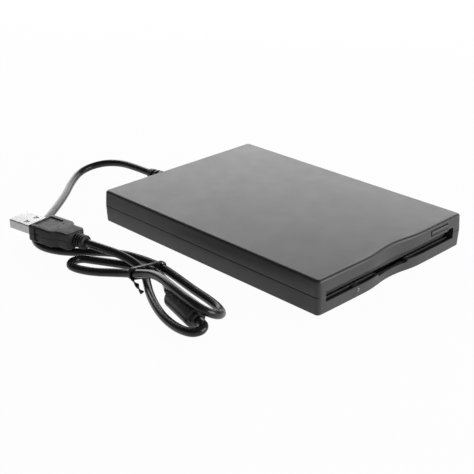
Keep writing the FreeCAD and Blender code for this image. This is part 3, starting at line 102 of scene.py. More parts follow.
def add_floor():
    bm = bmesh.new()
    bmesh.ops.create_grid(bm, x_segments=1, y_segments=1, size=4.0)
    mesh = bpy.data.meshes.new("floor")
    bm.to_mesh(mesh)
    bm.free()
    floor = bpy.data.objects.new("floor", mesh)
    bpy.context.scene.collection.objects.link(floor)
    material = bpy.data.materials.new("floor_paper")
    material.use_nodes = True
    tree = material.node_tree
    tree.nodes.clear()
    paper = tree.nodes.new("ShaderNodeBsdfDiffuse")
    paper.inputs["Color"].default_value = (0.88, 0.88, 0.88, 1)
    glow = tree.nodes.new("ShaderNodeEmission")
    share = tree.nodes.new("ShaderNodeMath")
    share.operation = "MULTIPLY"
    share.inputs[1].default_value = FLOOR_GLOW_SHARE
    tree.links.new(seen_directly(tree), share.inputs[0])
    lit = tree.nodes.new("ShaderNodeMixShader")
    tree.links.new(share.outputs[0], lit.inputs[0])
    tree.links.new(paper.outputs[0], lit.inputs[1])
    tree.links.new(glow.outputs[0], lit.inputs[2])
    under = tree.nodes.new("ShaderNodeNewGeometry")
    clear = tree.nodes.new("ShaderNodeBsdfTransparent")
    sided = tree.nodes.new("ShaderNodeMixShader")
    tree.links.new(under.outputs["Backfacing"], sided.inputs[0])
    tree.links.new(lit.outputs[0], sided.inputs[1])
    tree.links.new(clear.outputs[0], sided.inputs[2])
    output = tree.nodes.new("ShaderNodeOutputMaterial")
    tree.links.new(sided.outputs[0], output.inputs["Surface"])
    mesh.materials.append(material)


def add_world():
    world = bpy.data.worlds.new("studio")
    world.use_nodes = True
    tree = world.node_tree
    background = tree.nodes["Background"]
    background.inputs["Color"].default_value = (1, 1, 1, 1)
    path = tree.nodes.new("ShaderNodeLightPath")
    level = tree.nodes.new("ShaderNodeMapRange")
    tree.links.new(path.outputs["Is Camera Ray"], level.inputs["Value"])
    level.inputs["To Min"].default_value = WORLD_LIGHT
    level.inputs["To Max"].default_value = 1.0
    tree.links.new(level.outputs["Result"], background.inputs["Strength"])
    bpy.context.scene.world = world


add_camera()
add_floor()
add_world()
add_softbox("back_softbox", (0.6, 0.56, 0.27), (0, 0, 0.01), 1.6, 0.55, 3.4)
add_softbox("key_softbox", (0.5, -1.15, 0.34), (0, 0, 0), 1.2, 0.6, 7.0)
bpy.context.scene.view_settings.view_transform = "Standard"


# ---------------------------------------------------------------- finishes
class Finish:
    """One procedural finish: a shader fed by patterns that stay fixed to the piece."""

    def __init__(self, name, metallic=0.0, specular=0.5):
        self.material = bpy.data.materials.new(name)
        self.material.use_nodes = True
        self.tree = self.material.node_tree
        self.shader = self.tree.nodes["Principled BSDF"]
        self.shader.inputs["Metallic"].default_value = metallic
        self.shader.inputs["Specular IOR Level"].default_value = specular
        self.coordinates = self.tree.nodes.new("ShaderNodeTexCoord").outputs["Object"]
        self.height = None

    def node(self, kind, **inputs):
        made = self.tree.nodes.new(kind)
        for name, value in inputs.items():
            socket = made.inputs[name.replace("_", " ")]
            if isinstance(value, bpy.types.NodeSocket):
                self.tree.links.new(value, socket)
            else:
                socket.default_value = value
        return made

    def placed(self, stretch=(1, 1, 1), turn=(0, 0, 0), centre=(0, 0, 0)):
        return self.node("ShaderNodeMapping", Vector=self.coordinates, Scale=stretch, Rotation=turn,
                         Location=centre).outputs["Vector"]

    def noise(self, size, detail=3.0, stretch=(1, 1, 1), turn=(0, 0, 0)):
        """Noise whose blotches are about this many millimetres across."""
        return self.node("ShaderNodeTexNoise", Vector=self.placed(stretch, turn), Scale=1 / (size * MM),
                         Detail=detail).outputs["Fac"]

    def ranged(self, value, low, high, start=0.3, end=0.7):
        made = self.node("ShaderNodeMapRange", Value=value)
        made.inputs["From Min"].default_value = start
        made.inputs["From Max"].default_value = end
        made.inputs["To Min"].default_value = low
        made.inputs["To Max"].default_value = high
        return made.outputs["Result"]

    def blend(self, share, first, second):
        made = self.tree.nodes.new("ShaderNodeMix")
        made.data_type = "RGBA"
        self.tree.links.new(share, made.inputs["Factor"])
        for socket, value in ((made.inputs["A"], first), (made.inputs["B"], second)):
            if isinstance(value, bpy.types.NodeSocket):
                self.tree.links.new(value, socket)
            else:
                socket.default_value = (*value, 1)
        return made.outputs["Result"]

    def colour(self, value):
        self.tree.links.new(value, self.shader.inputs["Base Color"])

    def cloudy(self, clouds, colour, variation):
        """Colours the finish in soft clouds, this share darker and lighter than its colour."""
        self.colour(self.blend(self.ranged(clouds, 0, 1), shade(colour, 1 - variation),
                               shade(colour, 1 + variation)))

    def roughness(self, value):
        self.tree.links.new(value, self.shader.inputs["Roughness"])

    def bump(self, height, depth, strength=1.0):
        """Adds a relief of this many millimetres, on top of any added before."""
        made = self.node("ShaderNodeBump", Height=height, Distance=depth * MM, Strength=strength)
        if self.height:
            self.tree.links.new(self.height, made.inputs["Normal"])
        self.height = made.outputs["Normal"]
        self.tree.links.new(self.height, self.shader.inputs["Normal"])


def shade(colour, factor):
    return tuple(channel * factor for channel in colour)


def moulded(name, colour, roughness, grain=0.25, depth=0.008, mottle=14.0, variation=0.08, specular=0.5,
            spread=0.05):
    """Moulded plastic or rubber: fine grain from the mould and soft clouds of tone and gloss."""
    made = Finish(name, specular=specular)
    clouds = made.noise(mottle, detail=5.0)
    made.cloudy(clouds, colour, variation)
    made.roughness(made.ranged(made.noise(mottle * 0.4, detail=4.0), roughness - spread, roughness + spread))
    made.bump(made.noise(grain, detail=2.0), depth)
    return made.material


def metal(name, colour, roughness, stretch=(1, 1, 1), grain=0.2, depth=0.002, variation=0.06, spread=0.08):
    """Sheet, drawn or turned metal: stretched scratches, cloudy tone and gloss."""
    made = Finish(name, metallic=1.0)
    clouds = made.noise(6.0, detail=4.0)
    made.cloudy(clouds, colour, variation)
    lines = made.noise(grain, detail=3.0, stretch=stretch)
    made.roughness(made.ranged(lines, roughness - spread, roughness + spread))
    made.bump(lines, depth)
    return made.material


def solder_mask(name, green, track, size=1.1):
    """Circuit board: tracks under a lacquer that shows them lighter and slightly raised."""
    made = Finish(name)
    bricks = made.node("ShaderNodeTexBrick", Vector=made.placed((1, 1, 0)), Scale=1 / (size * 4 * MM))
    bricks.inputs["Mortar Size"].default_value = 0.03
    bricks.inputs["Mortar Smooth"].default_value = 0.3
    clouds = made.noise(5.0)
    lacquer = made.blend(made.ranged(clouds, 0, 1), shade(green, 0.9), shade(green, 1.1))
    made.colour(made.blend(bricks.outputs["Fac"], lacquer, track))
    made.roughness(made.ranged(clouds, 0.28, 0.4))
    made.bump(bricks.outputs["Fac"], 0.03)
    return made.material


def striped(name, first, second, period, axis, roughness, metallic=0.0, depth=0.02, width=0.5):
    """Finish with fine bands across one axis, as wound wire or printed conductors have."""
    made = Finish(name, metallic=metallic)
    bands = made.node("ShaderNodeTexWave", Vector=made.placed(), Scale=1 / (period * MM) / 3.183)
    bands.wave_type = "BANDS"
    bands.bands_direction = axis
    bands.wave_profile = "SIN"
    edge = made.ranged(bands.outputs["Fac"], 0, 1, width - 0.2, width + 0.2)
    made.colour(made.blend(edge, first, second))
    made.roughness(made.ranged(made.noise(3.0), roughness - 0.06, roughness + 0.06))
    made.bump(bands.outputs["Fac"], depth)
    return made.material


finishes = {
    "case_black": moulded("case_black", (0.036, 0.036, 0.037), 0.44, grain=0.22, depth=0.006, mottle=18,
                          variation=0.03, specular=0.5, spread=0.02),
    "button_grey": moulded("button_grey", (0.075, 0.075, 0.078), 0.42, grain=0.2, depth=0.004, mottle=5),
    "foot_rubber": moulded("foot_rubber", (0.03, 0.03, 0.031), 0.75, grain=0.35, depth=0.02, mottle=4),
    "relief_rubber": moulded("relief_rubber", (0.026, 0.026, 0.028), 0.42, grain=0.3, depth=0.008, mottle=5),
    "cord_jacket": moulded("cord_jacket", (0.013, 0.013, 0.014), 0.27, grain=1.1, depth=0.006, mottle=9,
                           specular=0.36, spread=0.05),
    "bead_moulding": moulded("bead_moulding", (0.045, 0.045, 0.047), 0.42, grain=0.3, depth=0.008, mottle=6,
                             specular=0.42),
    "ferrite": moulded("ferrite", (0.11, 0.11, 0.115), 0.6, grain=0.15, depth=0.02, mottle=3, variation=0.2),
    "tie_plastic": moulded("tie_plastic", (0.02, 0.02, 0.021), 0.35, grain=0.3, depth=0.02, mottle=4,
                           specular=0.35),
    "plug_plastic": moulded("plug_plastic", (0.036, 0.036, 0.038), 0.5, grain=0.18, depth=0.008, mottle=5,
                            specular=0.28),
    "nickel_shell": metal("nickel_shell", (0.47, 0.47, 0.47), 0.48, stretch=(1, 0.12, 1), grain=0.15),
    "white_plastic": moulded("white_plastic", (0.8, 0.8, 0.78), 0.4, grain=0.3, depth=0.004, mottle=6,
                             variation=0.03),
    "gold_contact": metal("gold_contact", (0.83, 0.62, 0.27), 0.25, stretch=(1, 0.1, 1)),
    "zinc_steel": metal("zinc_steel", (0.6, 0.6, 0.58), 0.36, grain=0.8, variation=0.15, spread=0.12),
    "screw_black": metal("screw_black", (0.05, 0.05, 0.05), 0.4, grain=0.3, variation=0.2),
    "spring_steel": metal("spring_steel", (0.5, 0.5, 0.5), 0.3, stretch=(1, 0.2, 1)),
    "door_plastic": moulded("door_plastic", (0.035, 0.035, 0.037), 0.5, grain=0.3, depth=0.006, mottle=8),
    "bearing_brass": metal("bearing_brass", (0.66, 0.5, 0.27), 0.45, grain=0.12, depth=0.006, variation=0.15),
    "coil_copper": striped("coil_copper", (0.65, 0.3, 0.13), (0.35, 0.14, 0.05), 0.18, "Z", 0.3, metallic=1.0,
                           depth=0.05),
    "rotor_steel": metal("rotor_steel", (0.66, 0.66, 0.67), 0.28, stretch=(0.15, 1, 1), grain=0.3),
    "hub_magnet_ferrite": moulded("hub_magnet_ferrite", (0.08, 0.06, 0.05), 0.65, grain=0.2, depth=0.02,
                                  mottle=2, variation=0.2),
    "motor_can": metal("motor_can", (0.58, 0.58, 0.57), 0.32, stretch=(1, 0.1, 1)),
    "carriage_resin": moulded("carriage_resin", (0.05, 0.05, 0.052), 0.55, grain=0.15, depth=0.012, mottle=4,
                              variation=0.15),
    "head_ferrite": moulded("head_ferrite", (0.22, 0.22, 0.23), 0.15, grain=0.4, depth=0.001, mottle=2),
    "plunger_white": moulded("plunger_white", (0.8, 0.8, 0.78), 0.35, grain=0.3, depth=0.003, mottle=2,
                             variation=0.03),
    "board_green": solder_mask("board_green", (0.02, 0.13, 0.05), (0.05, 0.22, 0.09)),
    "chip_black": moulded("chip_black", (0.03, 0.03, 0.03), 0.45, grain=0.12, depth=0.01, mottle=2),
    "crystal_can": metal("crystal_can", (0.7, 0.7, 0.68), 0.22, stretch=(0.2, 1, 1)),
    "capacitor_sleeve": moulded("capacitor_sleeve", (0.04, 0.05, 0.16), 0.25, grain=0.5, depth=0.004,
                                mottle=3),
    "lead_insulation": moulded("lead_insulation", (0.4, 0.05, 0.04), 0.35, grain=0.4, depth=0.006, mottle=3),
    "ribbon_film": striped("ribbon_film", (0.75, 0.72, 0.64), (0.5, 0.4, 0.3), 1.0, "X", 0.4, depth=0.01),
    "standoff_plastic": moulded("standoff_plastic", (0.034, 0.034, 0.036), 0.5, grain=0.22, depth=0.006,
                                mottle=6),
}


def clear_finish(name, tint, roughness, glow):
    """Clear moulded resin: light goes through it, with faint swirls from the mould; glow paints a highlight
    on its tip end.
    """
    made = Finish(name)
    made.shader.inputs["Transmission Weight"].default_value = 1.0
    made.shader.inputs["IOR"].default_value = 1.49
    made.shader.inputs["Emission Color"].default_value = (*tint, 1)
    along = made.node("ShaderNodeSeparateXYZ", Vector=made.coordinates).outputs["Y"]
    # painted highlight: the tip end along Y glows by emission though no lamp lights it
    lit = made.ranged(along, glow, 0, PAINTED_GLINT_TIP_END, PAINTED_GLINT_TIP_START)
    made.tree.links.new(lit, made.shader.inputs["Emission Strength"])
    swirl = made.noise(0.8, detail=2.0)
    made.colour(made.blend(made.ranged(swirl, 0, 1), shade(tint, 0.92), tint))
    made.roughness(made.ranged(swirl, roughness, roughness * 2))
    made.bump(swirl, 0.004)
    return made.material


# the light pipe's tip glows 0.12 as a painted highlight, while the activity lamp itself stays dark
finishes["clear_pipe"] = clear_finish("clear_pipe", (0.86, 0.9, 0.86), 0.12, 0.12)
finishes["lamp_resin"] = clear_finish("lamp_resin", (0.35, 0.75, 0.3), 0.1, 0.0)

node_slots = {
    "case_black": ("top_cover", "bottom_cover"),
    "button_grey": ("eject_button",),
    "foot_rubber": ("rubber_feet",),
    "relief_rubber": ("cord_strain_relief",),
    "cord_jacket": ("usb_cord",),
    "bead_moulding": ("ferrite_moulding",),
    "ferrite": ("ferrite_core",),
    "tie_plastic": ("cord_tie",),
    "plug_plastic": ("plug_overmould",),
    "nickel_shell": ("plug_shell",),
    "white_plastic": ("plug_tongue", "cord_header", "board_socket", "rear_socket"),
    "gold_contact": ("plug_contacts",),
    "clear_pipe": ("led_light_pipe",),
    "lamp_resin": ("activity_lamp",),
    "zinc_steel": ("drive_frame", "drive_cover_plate", "disk_carrier", "eject_slide"),
    "screw_black": ("case_screws", "frame_screws"),
    "spring_steel": ("slide_springs", "lever_spring", "door_spring", "head_load_spring"),
    "door_plastic": ("dust_door", "shutter_lever"),
    "bearing_brass": ("spindle_bush",),
    "coil_copper": ("spindle_coils",),
    "rotor_steel": ("spindle_rotor", "lead_screw", "guide_rod", "hub_drive_pin"),
    "hub_magnet_ferrite": ("hub_magnet",),
    "motor_can": ("stepper_motor",),
    "carriage_resin": ("head_carriage", "upper_head_arm", "detector_switches", "track_zero_sensor"),
    "head_ferrite": ("lower_head", "upper_head"),
    "plunger_white": ("protect_plunger", "disk_plunger", "density_plunger"),
    "board_green": ("control_board", "interface_board"),
    "chip_black": ("control_chips", "bridge_chip"),
    "crystal_can": ("clock_crystal",),
    "capacitor_sleeve": ("board_capacitors",),
    "lead_insulation": ("cord_leads",),
    "ribbon_film": ("ribbon_cable",),
    "standoff_plastic": ("board_standoffs",),
}


def dress_frame():
    """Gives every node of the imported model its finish."""
    for slot_name, names in node_slots.items():
        for name in names:
            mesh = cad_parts[name].data
            mesh.materials.clear()
            mesh.materials.append(finishes[slot_name])


dress_frame()


# ---------------------------------------------------------------- making pieces
def finish_piece(name, mesh, slot_name, body, nodes, smooth_angle=30):
    mesh.materials.clear()
    mesh.materials.append(finishes[slot_name])
    for polygon in mesh.polygons:
        polygon.use_smooth = True
    mesh.set_sharp_from_angle(angle=math.radians(smooth_angle))
    piece = bpy.data.objects.new(name, mesh)
    bpy.context.scene.collection.objects.link(piece)
    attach(piece, body)
    if nodes:
        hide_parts(*nodes)
    return piece


def piece_from(bm, name, slot_name, body=CASING, nodes=(), smooth_angle=30):
    """Turns a bmesh drawn in millimetres into a piece with its place in its mesh."""
    bmesh.ops.remove_doubles(bm, verts=bm.verts, dist=0.0005)
    bmesh.ops.recalc_face_normals(bm, faces=bm.faces)
    bmesh.ops.scale(bm, vec=(MM, MM, MM), verts=bm.verts)
    mesh = bpy.data.meshes.new(name)
    bm.to_mesh(mesh)
    bm.free()
    return finish_piece(name, mesh, slot_name, body, nodes, smooth_angle)


def copied(node):
    """The node's own shape, in millimetres, ready to be worked on."""
    bm = bmesh.new()
    bm.from_mesh(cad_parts[node].data)
    bmesh.ops.remove_doubles(bm, verts=bm.verts, dist=0.001 * MM)
    bmesh.ops.dissolve_limit(bm, angle_limit=math.radians(0.3), verts=bm.verts, edges=bm.edges)
    bmesh.ops.scale(bm, vec=(1 / MM, 1 / MM, 1 / MM), verts=bm.verts)
    return bm


def break_edges(piece, width, segments=2, angle=32):
    """Breaks the piece's sharp edges, as a mould or a press leaves them."""
    broken = piece.modifiers.new("broken_edges", "BEVEL")
    broken.width = width * MM
    broken.segments = segments
    broken.limit_method = "ANGLE"
    broken.angle_limit = math.radians(angle)
    broken.use_clamp_overlap = False
    broken.harden_normals = True
    return piece


def rounded_copy(node, name, slot_name, body, edge):
    return break_edges(piece_from(copied(node), name, slot_name, body, [node]), edge)


def spun(profile, start, direction, steps=48, into=None):
    """Solid of revolution. The profile is pairs of distance along the axis and radius."""
    bm = into or bmesh.new()
    before = set(bm.verts)
    points = [bm.verts.new((radius, 0, along)) for along, radius in profile]
    edges = [bm.edges.new(pair) for pair in zip(points, points[1:])]
    bmesh.ops.spin(bm, geom=points + edges, cent=(0, 0, 0), axis=(0, 0, 1), angle=2 * math.pi, steps=steps,
                   use_merge=True)
    turn = Vector(direction).to_track_quat("Z", "Y").to_matrix().to_4x4()
    fresh = [vert for vert in bm.verts if vert not in before]
    bmesh.ops.transform(bm, matrix=Matrix.Translation(Vector(start)) @ turn, verts=fresh)
    bmesh.ops.remove_doubles(bm, verts=fresh, dist=0.0005)
    return bm


def wound(start, direction, radius, wire, turns, length, into=None, phase=0.0, steps=20, sides=8):
    """Round wire wound into a helix round an axis."""
    bm = into or bmesh.new()
    before = set(bm.verts)
    ring = bmesh.ops.create_circle(bm, cap_ends=True, segments=sides, radius=wire / 2)["verts"]
    bmesh.ops.rotate(bm, cent=(0, 0, 0), matrix=Matrix.Rotation(math.radians(90), 3, "X"), verts=ring)
    bmesh.ops.translate(bm, vec=(radius, 0, 0), verts=ring)
    bmesh.ops.rotate(bm, cent=(0, 0, 0), matrix=Matrix.Rotation(phase, 3, "Z"), verts=ring)
    count = max(2, int(turns * steps))
    faces = list({face for vert in ring for face in vert.link_faces})
    edges = list({edge for vert in ring for edge in vert.link_edges})
    bmesh.ops.spin(bm, geom=ring + edges + faces, cent=(0, 0, 0), axis=(0, 0, 1), angle=2 * math.pi * turns,
                   dvec=(0, 0, length / count), steps=count)
    turn = Vector(direction).to_track_quat("Z", "Y").to_matrix().to_4x4()
    fresh = [vert for vert in bm.verts if vert not in before]
    bmesh.ops.transform(bm, matrix=Matrix.Translation(Vector(start)) @ turn, verts=fresh)
    return bm


def plate(rim, low, high):
    """Solid with this plan outline between two heights."""
    bm = bmesh.new()
    corners = [bm.verts.new((x, y, low)) for x, y in rim]
    edges = [bm.edges.new(pair) for pair in zip(corners, corners[1:] + corners[:1])]
    base = bmesh.ops.contextual_create(bm, geom=edges)["faces"]
    raised = bmesh.ops.extrude_face_region(bm, geom=base)["geom"]
    lifted = [part for part in raised if isinstance(part, bmesh.types.BMVert)]
    bmesh.ops.translate(bm, vec=(0, 0, high - low), verts=lifted)
    bmesh.ops.recalc_face_normals(bm, faces=bm.faces)
    return bm


def block(bm, low, high):
    """Adds a box between two corners."""
    middle = [(a + b) / 2 for a, b in zip(low, high)]
    size = [b - a for a, b in zip(low, high)]
    corners = bmesh.ops.create_cube(bm, size=1)["verts"]
    bmesh.ops.scale(bm, vec=size, verts=corners)
    bmesh.ops.translate(bm, vec=middle, verts=corners)


def soften(bm, chosen, offset, segments):
    """Rounds the edges for which chosen is true."""
    edges = [edge for edge in bm.edges if chosen(edge)]
    bmesh.ops.bevel(bm, geom=edges, offset=offset, segments=segments, profile=0.5, affect="EDGES",
                    material=-1, clamp_overlap=False)


def press(bm, chosen, low, high, draft, depth):
    """Presses the part of the chosen faces between two corners inwards. None leaves a side free."""
    for axis, unit in enumerate((X, Y, Z)):
        for limit in (low[axis], high[axis]):
            if limit is not None:
                faces = [face for face in bm.faces if chosen(face)]
                edges = list({edge for face in faces for edge in face.edges})
                verts = list({vert for face in faces for vert in face.verts})
                bmesh.ops.bisect_plane(bm, geom=verts + edges + faces, dist=0.0001, plane_co=unit * limit,
                                       plane_no=unit)

    def inside(face):
        middle = face.calc_center_median()
        return all((low[axis] is None or low[axis] < middle[axis]) and
                   (high[axis] is None or middle[axis] < high[axis]) for axis in range(3))

    pressed = [face for face in bm.faces if chosen(face) and inside(face)]
    bmesh.ops.inset_region(bm, faces=pressed, use_boundary=True, use_even_offset=True, thickness=draft,
                           depth=-depth)


# ---------------------------------------------------------------- casing
rounded_copy("top_cover", "upper_case", "case_black", CASING, 0.12)
rounded_copy("bottom_cover", "lower_case", "case_black", CASING, 0.12)
cord_boot = rounded_copy("cord_strain_relief", "cord_boot", "relief_rubber", CASING, 0.2)


def add_key():
    """Eject button: its face stands level with the case and carries a ridge over a fine groove."""
    bm = copied("eject_button")
    bmesh.ops.recalc_face_normals(bm, faces=bm.faces)
    nearest = min(vert.co.y for vert in bm.verts)
    press(bm, lambda face: face.normal.y < -0.99 and face.calc_center_median().y < nearest + 0.01,
          (27.3, None, 13.42), (38.7, None, 13.72), 0.04, 0.45)
    return break_edges(piece_from(bm, "eject_key", "button_grey", "eject_slide", ["eject_button"]), 0.14)


def add_door():
    """Sprung door behind the slot: its lower edge reaches down to the slot's floor."""
    bm = copied("dust_door")
    lowest = min(vert.co.z for vert in bm.verts)
    edge_verts = [vert for vert in bm.verts if vert.co.z < lowest + 0.01]
    bmesh.ops.translate(bm, vec=(0, 0, -0.26), verts=edge_verts)
    return break_edges(piece_from(bm, "slot_door", "door_plastic", "dust_door", ["dust_door"]), 0.12)


def add_lens():
    """End of the light pipe: a low dome with a broken rim, on its long stem."""
    profile = [(0, 0), (0.01, 0.4), (0.05, 0.66), (0.13, 0.84), (0.24, 0.9), (12.85, 0.9), (12.85, 0)]
    bm = spun(profile, (-25.5, -71.1, 4.6), Y, steps=32)
    return piece_from(bm, "lamp_lens", "clear_pipe", CASING, ["led_light_pipe"])


def add_feet():
    """Stick-on rubber feet with a raised ring round a shallow dish."""
    profile = [(0.22, 0), (0.22, 3.3), (0.16, 3.55), (0.03, 3.8), (0, 4.0), (0.02, 4.45), (0.12, 4.75),
               (0.3, 4.93), (0.5, 5.0), (1.2, 5.0), (1.2, 0)]
    bm = bmesh.new()
    for x in (-36, 36):
        for y in (-61, 61):
            spun(profile, (x, y, 0), Z, steps=40, into=bm)
    return piece_from(bm, "stick_on_feet", "foot_rubber", CASING, ["rubber_feet"])


def crossed(node, name, places):
    """Screws with a cross recess in every head, which faces down."""
    bm = copied(node)
    lowest = min(vert.co.z for vert in bm.verts)

    def on_head(face):
        return face.normal.z < -0.9 and face.calc_center_median().z < lowest + 0.01

    bmesh.ops.recalc_face_normals(bm, faces=bm.faces)
    for x, y in places:
        press(bm, on_head, (x - 1.05, y - 0.22, None), (x + 1.05, y + 0.22, None), 0.04, 0.4)
        for side in (-1, 1):
            start, end = sorted((y + side * 0.26, y + side * 1.05))
            press(bm, on_head, (x - 0.22, start, None), (x + 0.22, end, None), 0.04, 0.4)
    return break_edges(piece_from(bm, name, "screw_black", CASING, [node]), 0.06)


add_key()
add_door()
add_lens()
add_feet()
crossed("case_screws", "case_fixings", [(-44, 63.5), (44, 63.5)])
crossed("frame_screws", "frame_fixings", [(-44.5, -50), (-44.5, 45), (42.5, -50), (42.5, 45)])


# ---------------------------------------------------------------- mechanism
def add_slide_springs():
    bm = bmesh.new()
    for x in (-41, 39):
        wound((x, -36.3, 13), Y, 0.9, 0.36, 13, 23.6, into=bm)
    return piece_from(bm, "return_springs", "spring_steel", CASING, ["slide_springs"])


def add_lead_screw():
    """Plain ends and a coarse thread between them, 3 mm of travel for each turn."""
    profile = [(0, 0), (0, 0.75), (0.15, 0.9), (20.55, 0.9), (20.7, 0.75), (20.7, 0)]
    bm = spun(profile, (13, 29.5, 8.4), Y, steps=32)
    wound((13, 31, 8.4), Y, 0.92, 0.5, 5.6, 16.8, into=bm, steps=28)
    return piece_from(bm, "threaded_screw", "rotor_steel", "lead_screw", ["lead_screw"])


def add_windings():
    """Nine flat coils round the spindle, each with rounded shoulders."""
    profile = [(0, 0.87), (0, 2.35), (0.08, 2.52), (0.25, 2.6), (0.45, 2.6), (0.62, 2.52), (0.7, 2.35),
               (0.7, 0.87), (0, 0.87)]
    bm = bmesh.new()
    for number in range(9):
        angle = math.radians(40 * number)
        spun(profile, (-1 + 13 * math.cos(angle), -18 + 13 * math.sin(angle), 3.1), Z, steps=28, into=bm)
    return piece_from(bm, "motor_windings", "coil_copper", CASING, ["spindle_coils"])


def add_small_springs():
    """Torsion spring of the shutter lever and hinge spring of the dust door."""
    lever = wound((-37, 39.3, 12.05), Z, 1.42, 0.32, 2.2, 0.6)
    door = wound((44.3, -66.1, 11.1), X, 0.85, 0.26, 4.5, 1.35)
    return [piece_from(lever, "lever_torsion_spring", "spring_steel", "disk_carrier", ["lever_spring"]),
            piece_from(door, "door_torsion_spring", "spring_steel", CASING, ["door_spring"])]


def add_chip_legs(name, bodies, pitch):
    """Flat legs along the two long sides of each package, stepped down to the board."""
    bm = bmesh.new()
    for left, right, front, rear, low, high in bodies:
        middle = (low + high) / 2
        count = int((rear - front - 1) / pitch)
        first = (front + rear - (count - 1) * pitch) / 2
        for number in range(count):
            y = first + number * pitch
            for inner, outer in ((left, left - 0.9), (right, right + 0.9)):
                hand = 1 if outer > inner else -1
                knee = inner + hand * 0.35
                start, end = sorted((inner - hand * 0.05, knee))
                block(bm, (start, y - 0.16, middle - 0.08), (end, y + 0.16, middle + 0.08))
                start, end = sorted((knee - hand * 0.16, knee))
                block(bm, (start, y - 0.16, low + 0.02), (end, y + 0.16, middle + 0.08))
                start, end = sorted((knee - hand * 0.16, outer))
                block(bm, (start, y - 0.16, low + 0.02), (end, y + 0.16, low + 0.14))
    return piece_from(bm, name, "crystal_can", CASING)


def add_capacitors():
    """Two wound capacitors with a rolled groove and a pressed top, and three small blocks."""
    profile = [(0, 0), (0, 1.75), (0.12, 1.88), (0.5, 1.88), (0.62, 1.72), (0.78, 1.72), (0.9, 1.88),
               (3.35, 1.88), (3.52, 1.8), (3.6, 1.62), (3.6, 1.45), (3.52, 1.38), (3.52, 0)]
    bm = bmesh.new()
    for x in (-22, 28):
        spun(profile, (x, 63.1, 5.1), Z, steps=32, into=bm)
    for x in (-12.6, -0.6, 2.0):
        block(bm, (x - 0.8, 64, 5.1), (x + 0.8, 64.8, 5.7))
    piece = piece_from(bm, "wound_capacitors", "capacitor_sleeve", CASING, ["board_capacitors"])
    return break_edges(piece, 0.05)


add_slide_springs()
add_lead_screw()
add_windings()
add_small_springs()
add_chip_legs("control_chip_legs", [(-15, -3, -52, -42, 3.7, 4.4), (5, 15, -51, -43, 3.7, 4.4),
                                    (-38, -31, -32, -22, 3.7, 4.4)], 0.8)
add_chip_legs("bridge_chip_legs", [(4.5, 11.5, 58.5, 65.5, 5.1, 6.1)], 0.65)
add_capacitors()
for node, name, slot_name, body, edge in (
        ("control_chips", "control_packages", "chip_black", CASING, 0.1),
        ("bridge_chip", "bridge_package", "chip_black", CASING, 0.1),
        ("clock_crystal", "crystal_case", "crystal_can", CASING, 0.45),
        ("cord_header", "cord_plug_housing", "white_plastic", CASING, 0.12),
        ("board_socket", "board_ribbon_socket", "white_plastic", CASING, 0.12),
        ("rear_socket", "drive_ribbon_socket", "white_plastic", CASING, 0.12),
        ("detector_switches", "switch_bodies", "carriage_resin", CASING, 0.12),
        ("stepper_motor", "stepper_can", "motor_can", CASING, 0.4),
        ("guide_rod", "ground_rod", "rotor_steel", CASING, 0.2),
        ("drive_frame", "pressed_frame", "zinc_steel", CASING, 0.08),
        ("drive_cover_plate", "pressed_cover", "zinc_steel", CASING, 0.08),
        ("disk_carrier", "pressed_carrier", "zinc_steel", "disk_carrier", 0.08),
        ("eject_slide", "pressed_slide", "zinc_steel", "eject_slide", 0.08),
        ("spindle_rotor", "turned_rotor", "rotor_steel", "spindle", 0.15),
        ("head_carriage", "moulded_carriage", "carriage_resin", "head_carriage", 0.15),
        ("upper_head_arm", "moulded_arm", "carriage_resin", "head_arm", 0.12),
        ("shutter_lever", "moulded_lever", "door_plastic", "shutter_lever", 0.15)):
    rounded_copy(node, name, slot_name, body, edge)


# ---------------------------------------------------------------- plug
plug_place = Matrix.Translation((-88.5, 71.2, 8.6)) @ Matrix.Rotation(math.radians(8.7), 4, "Z")


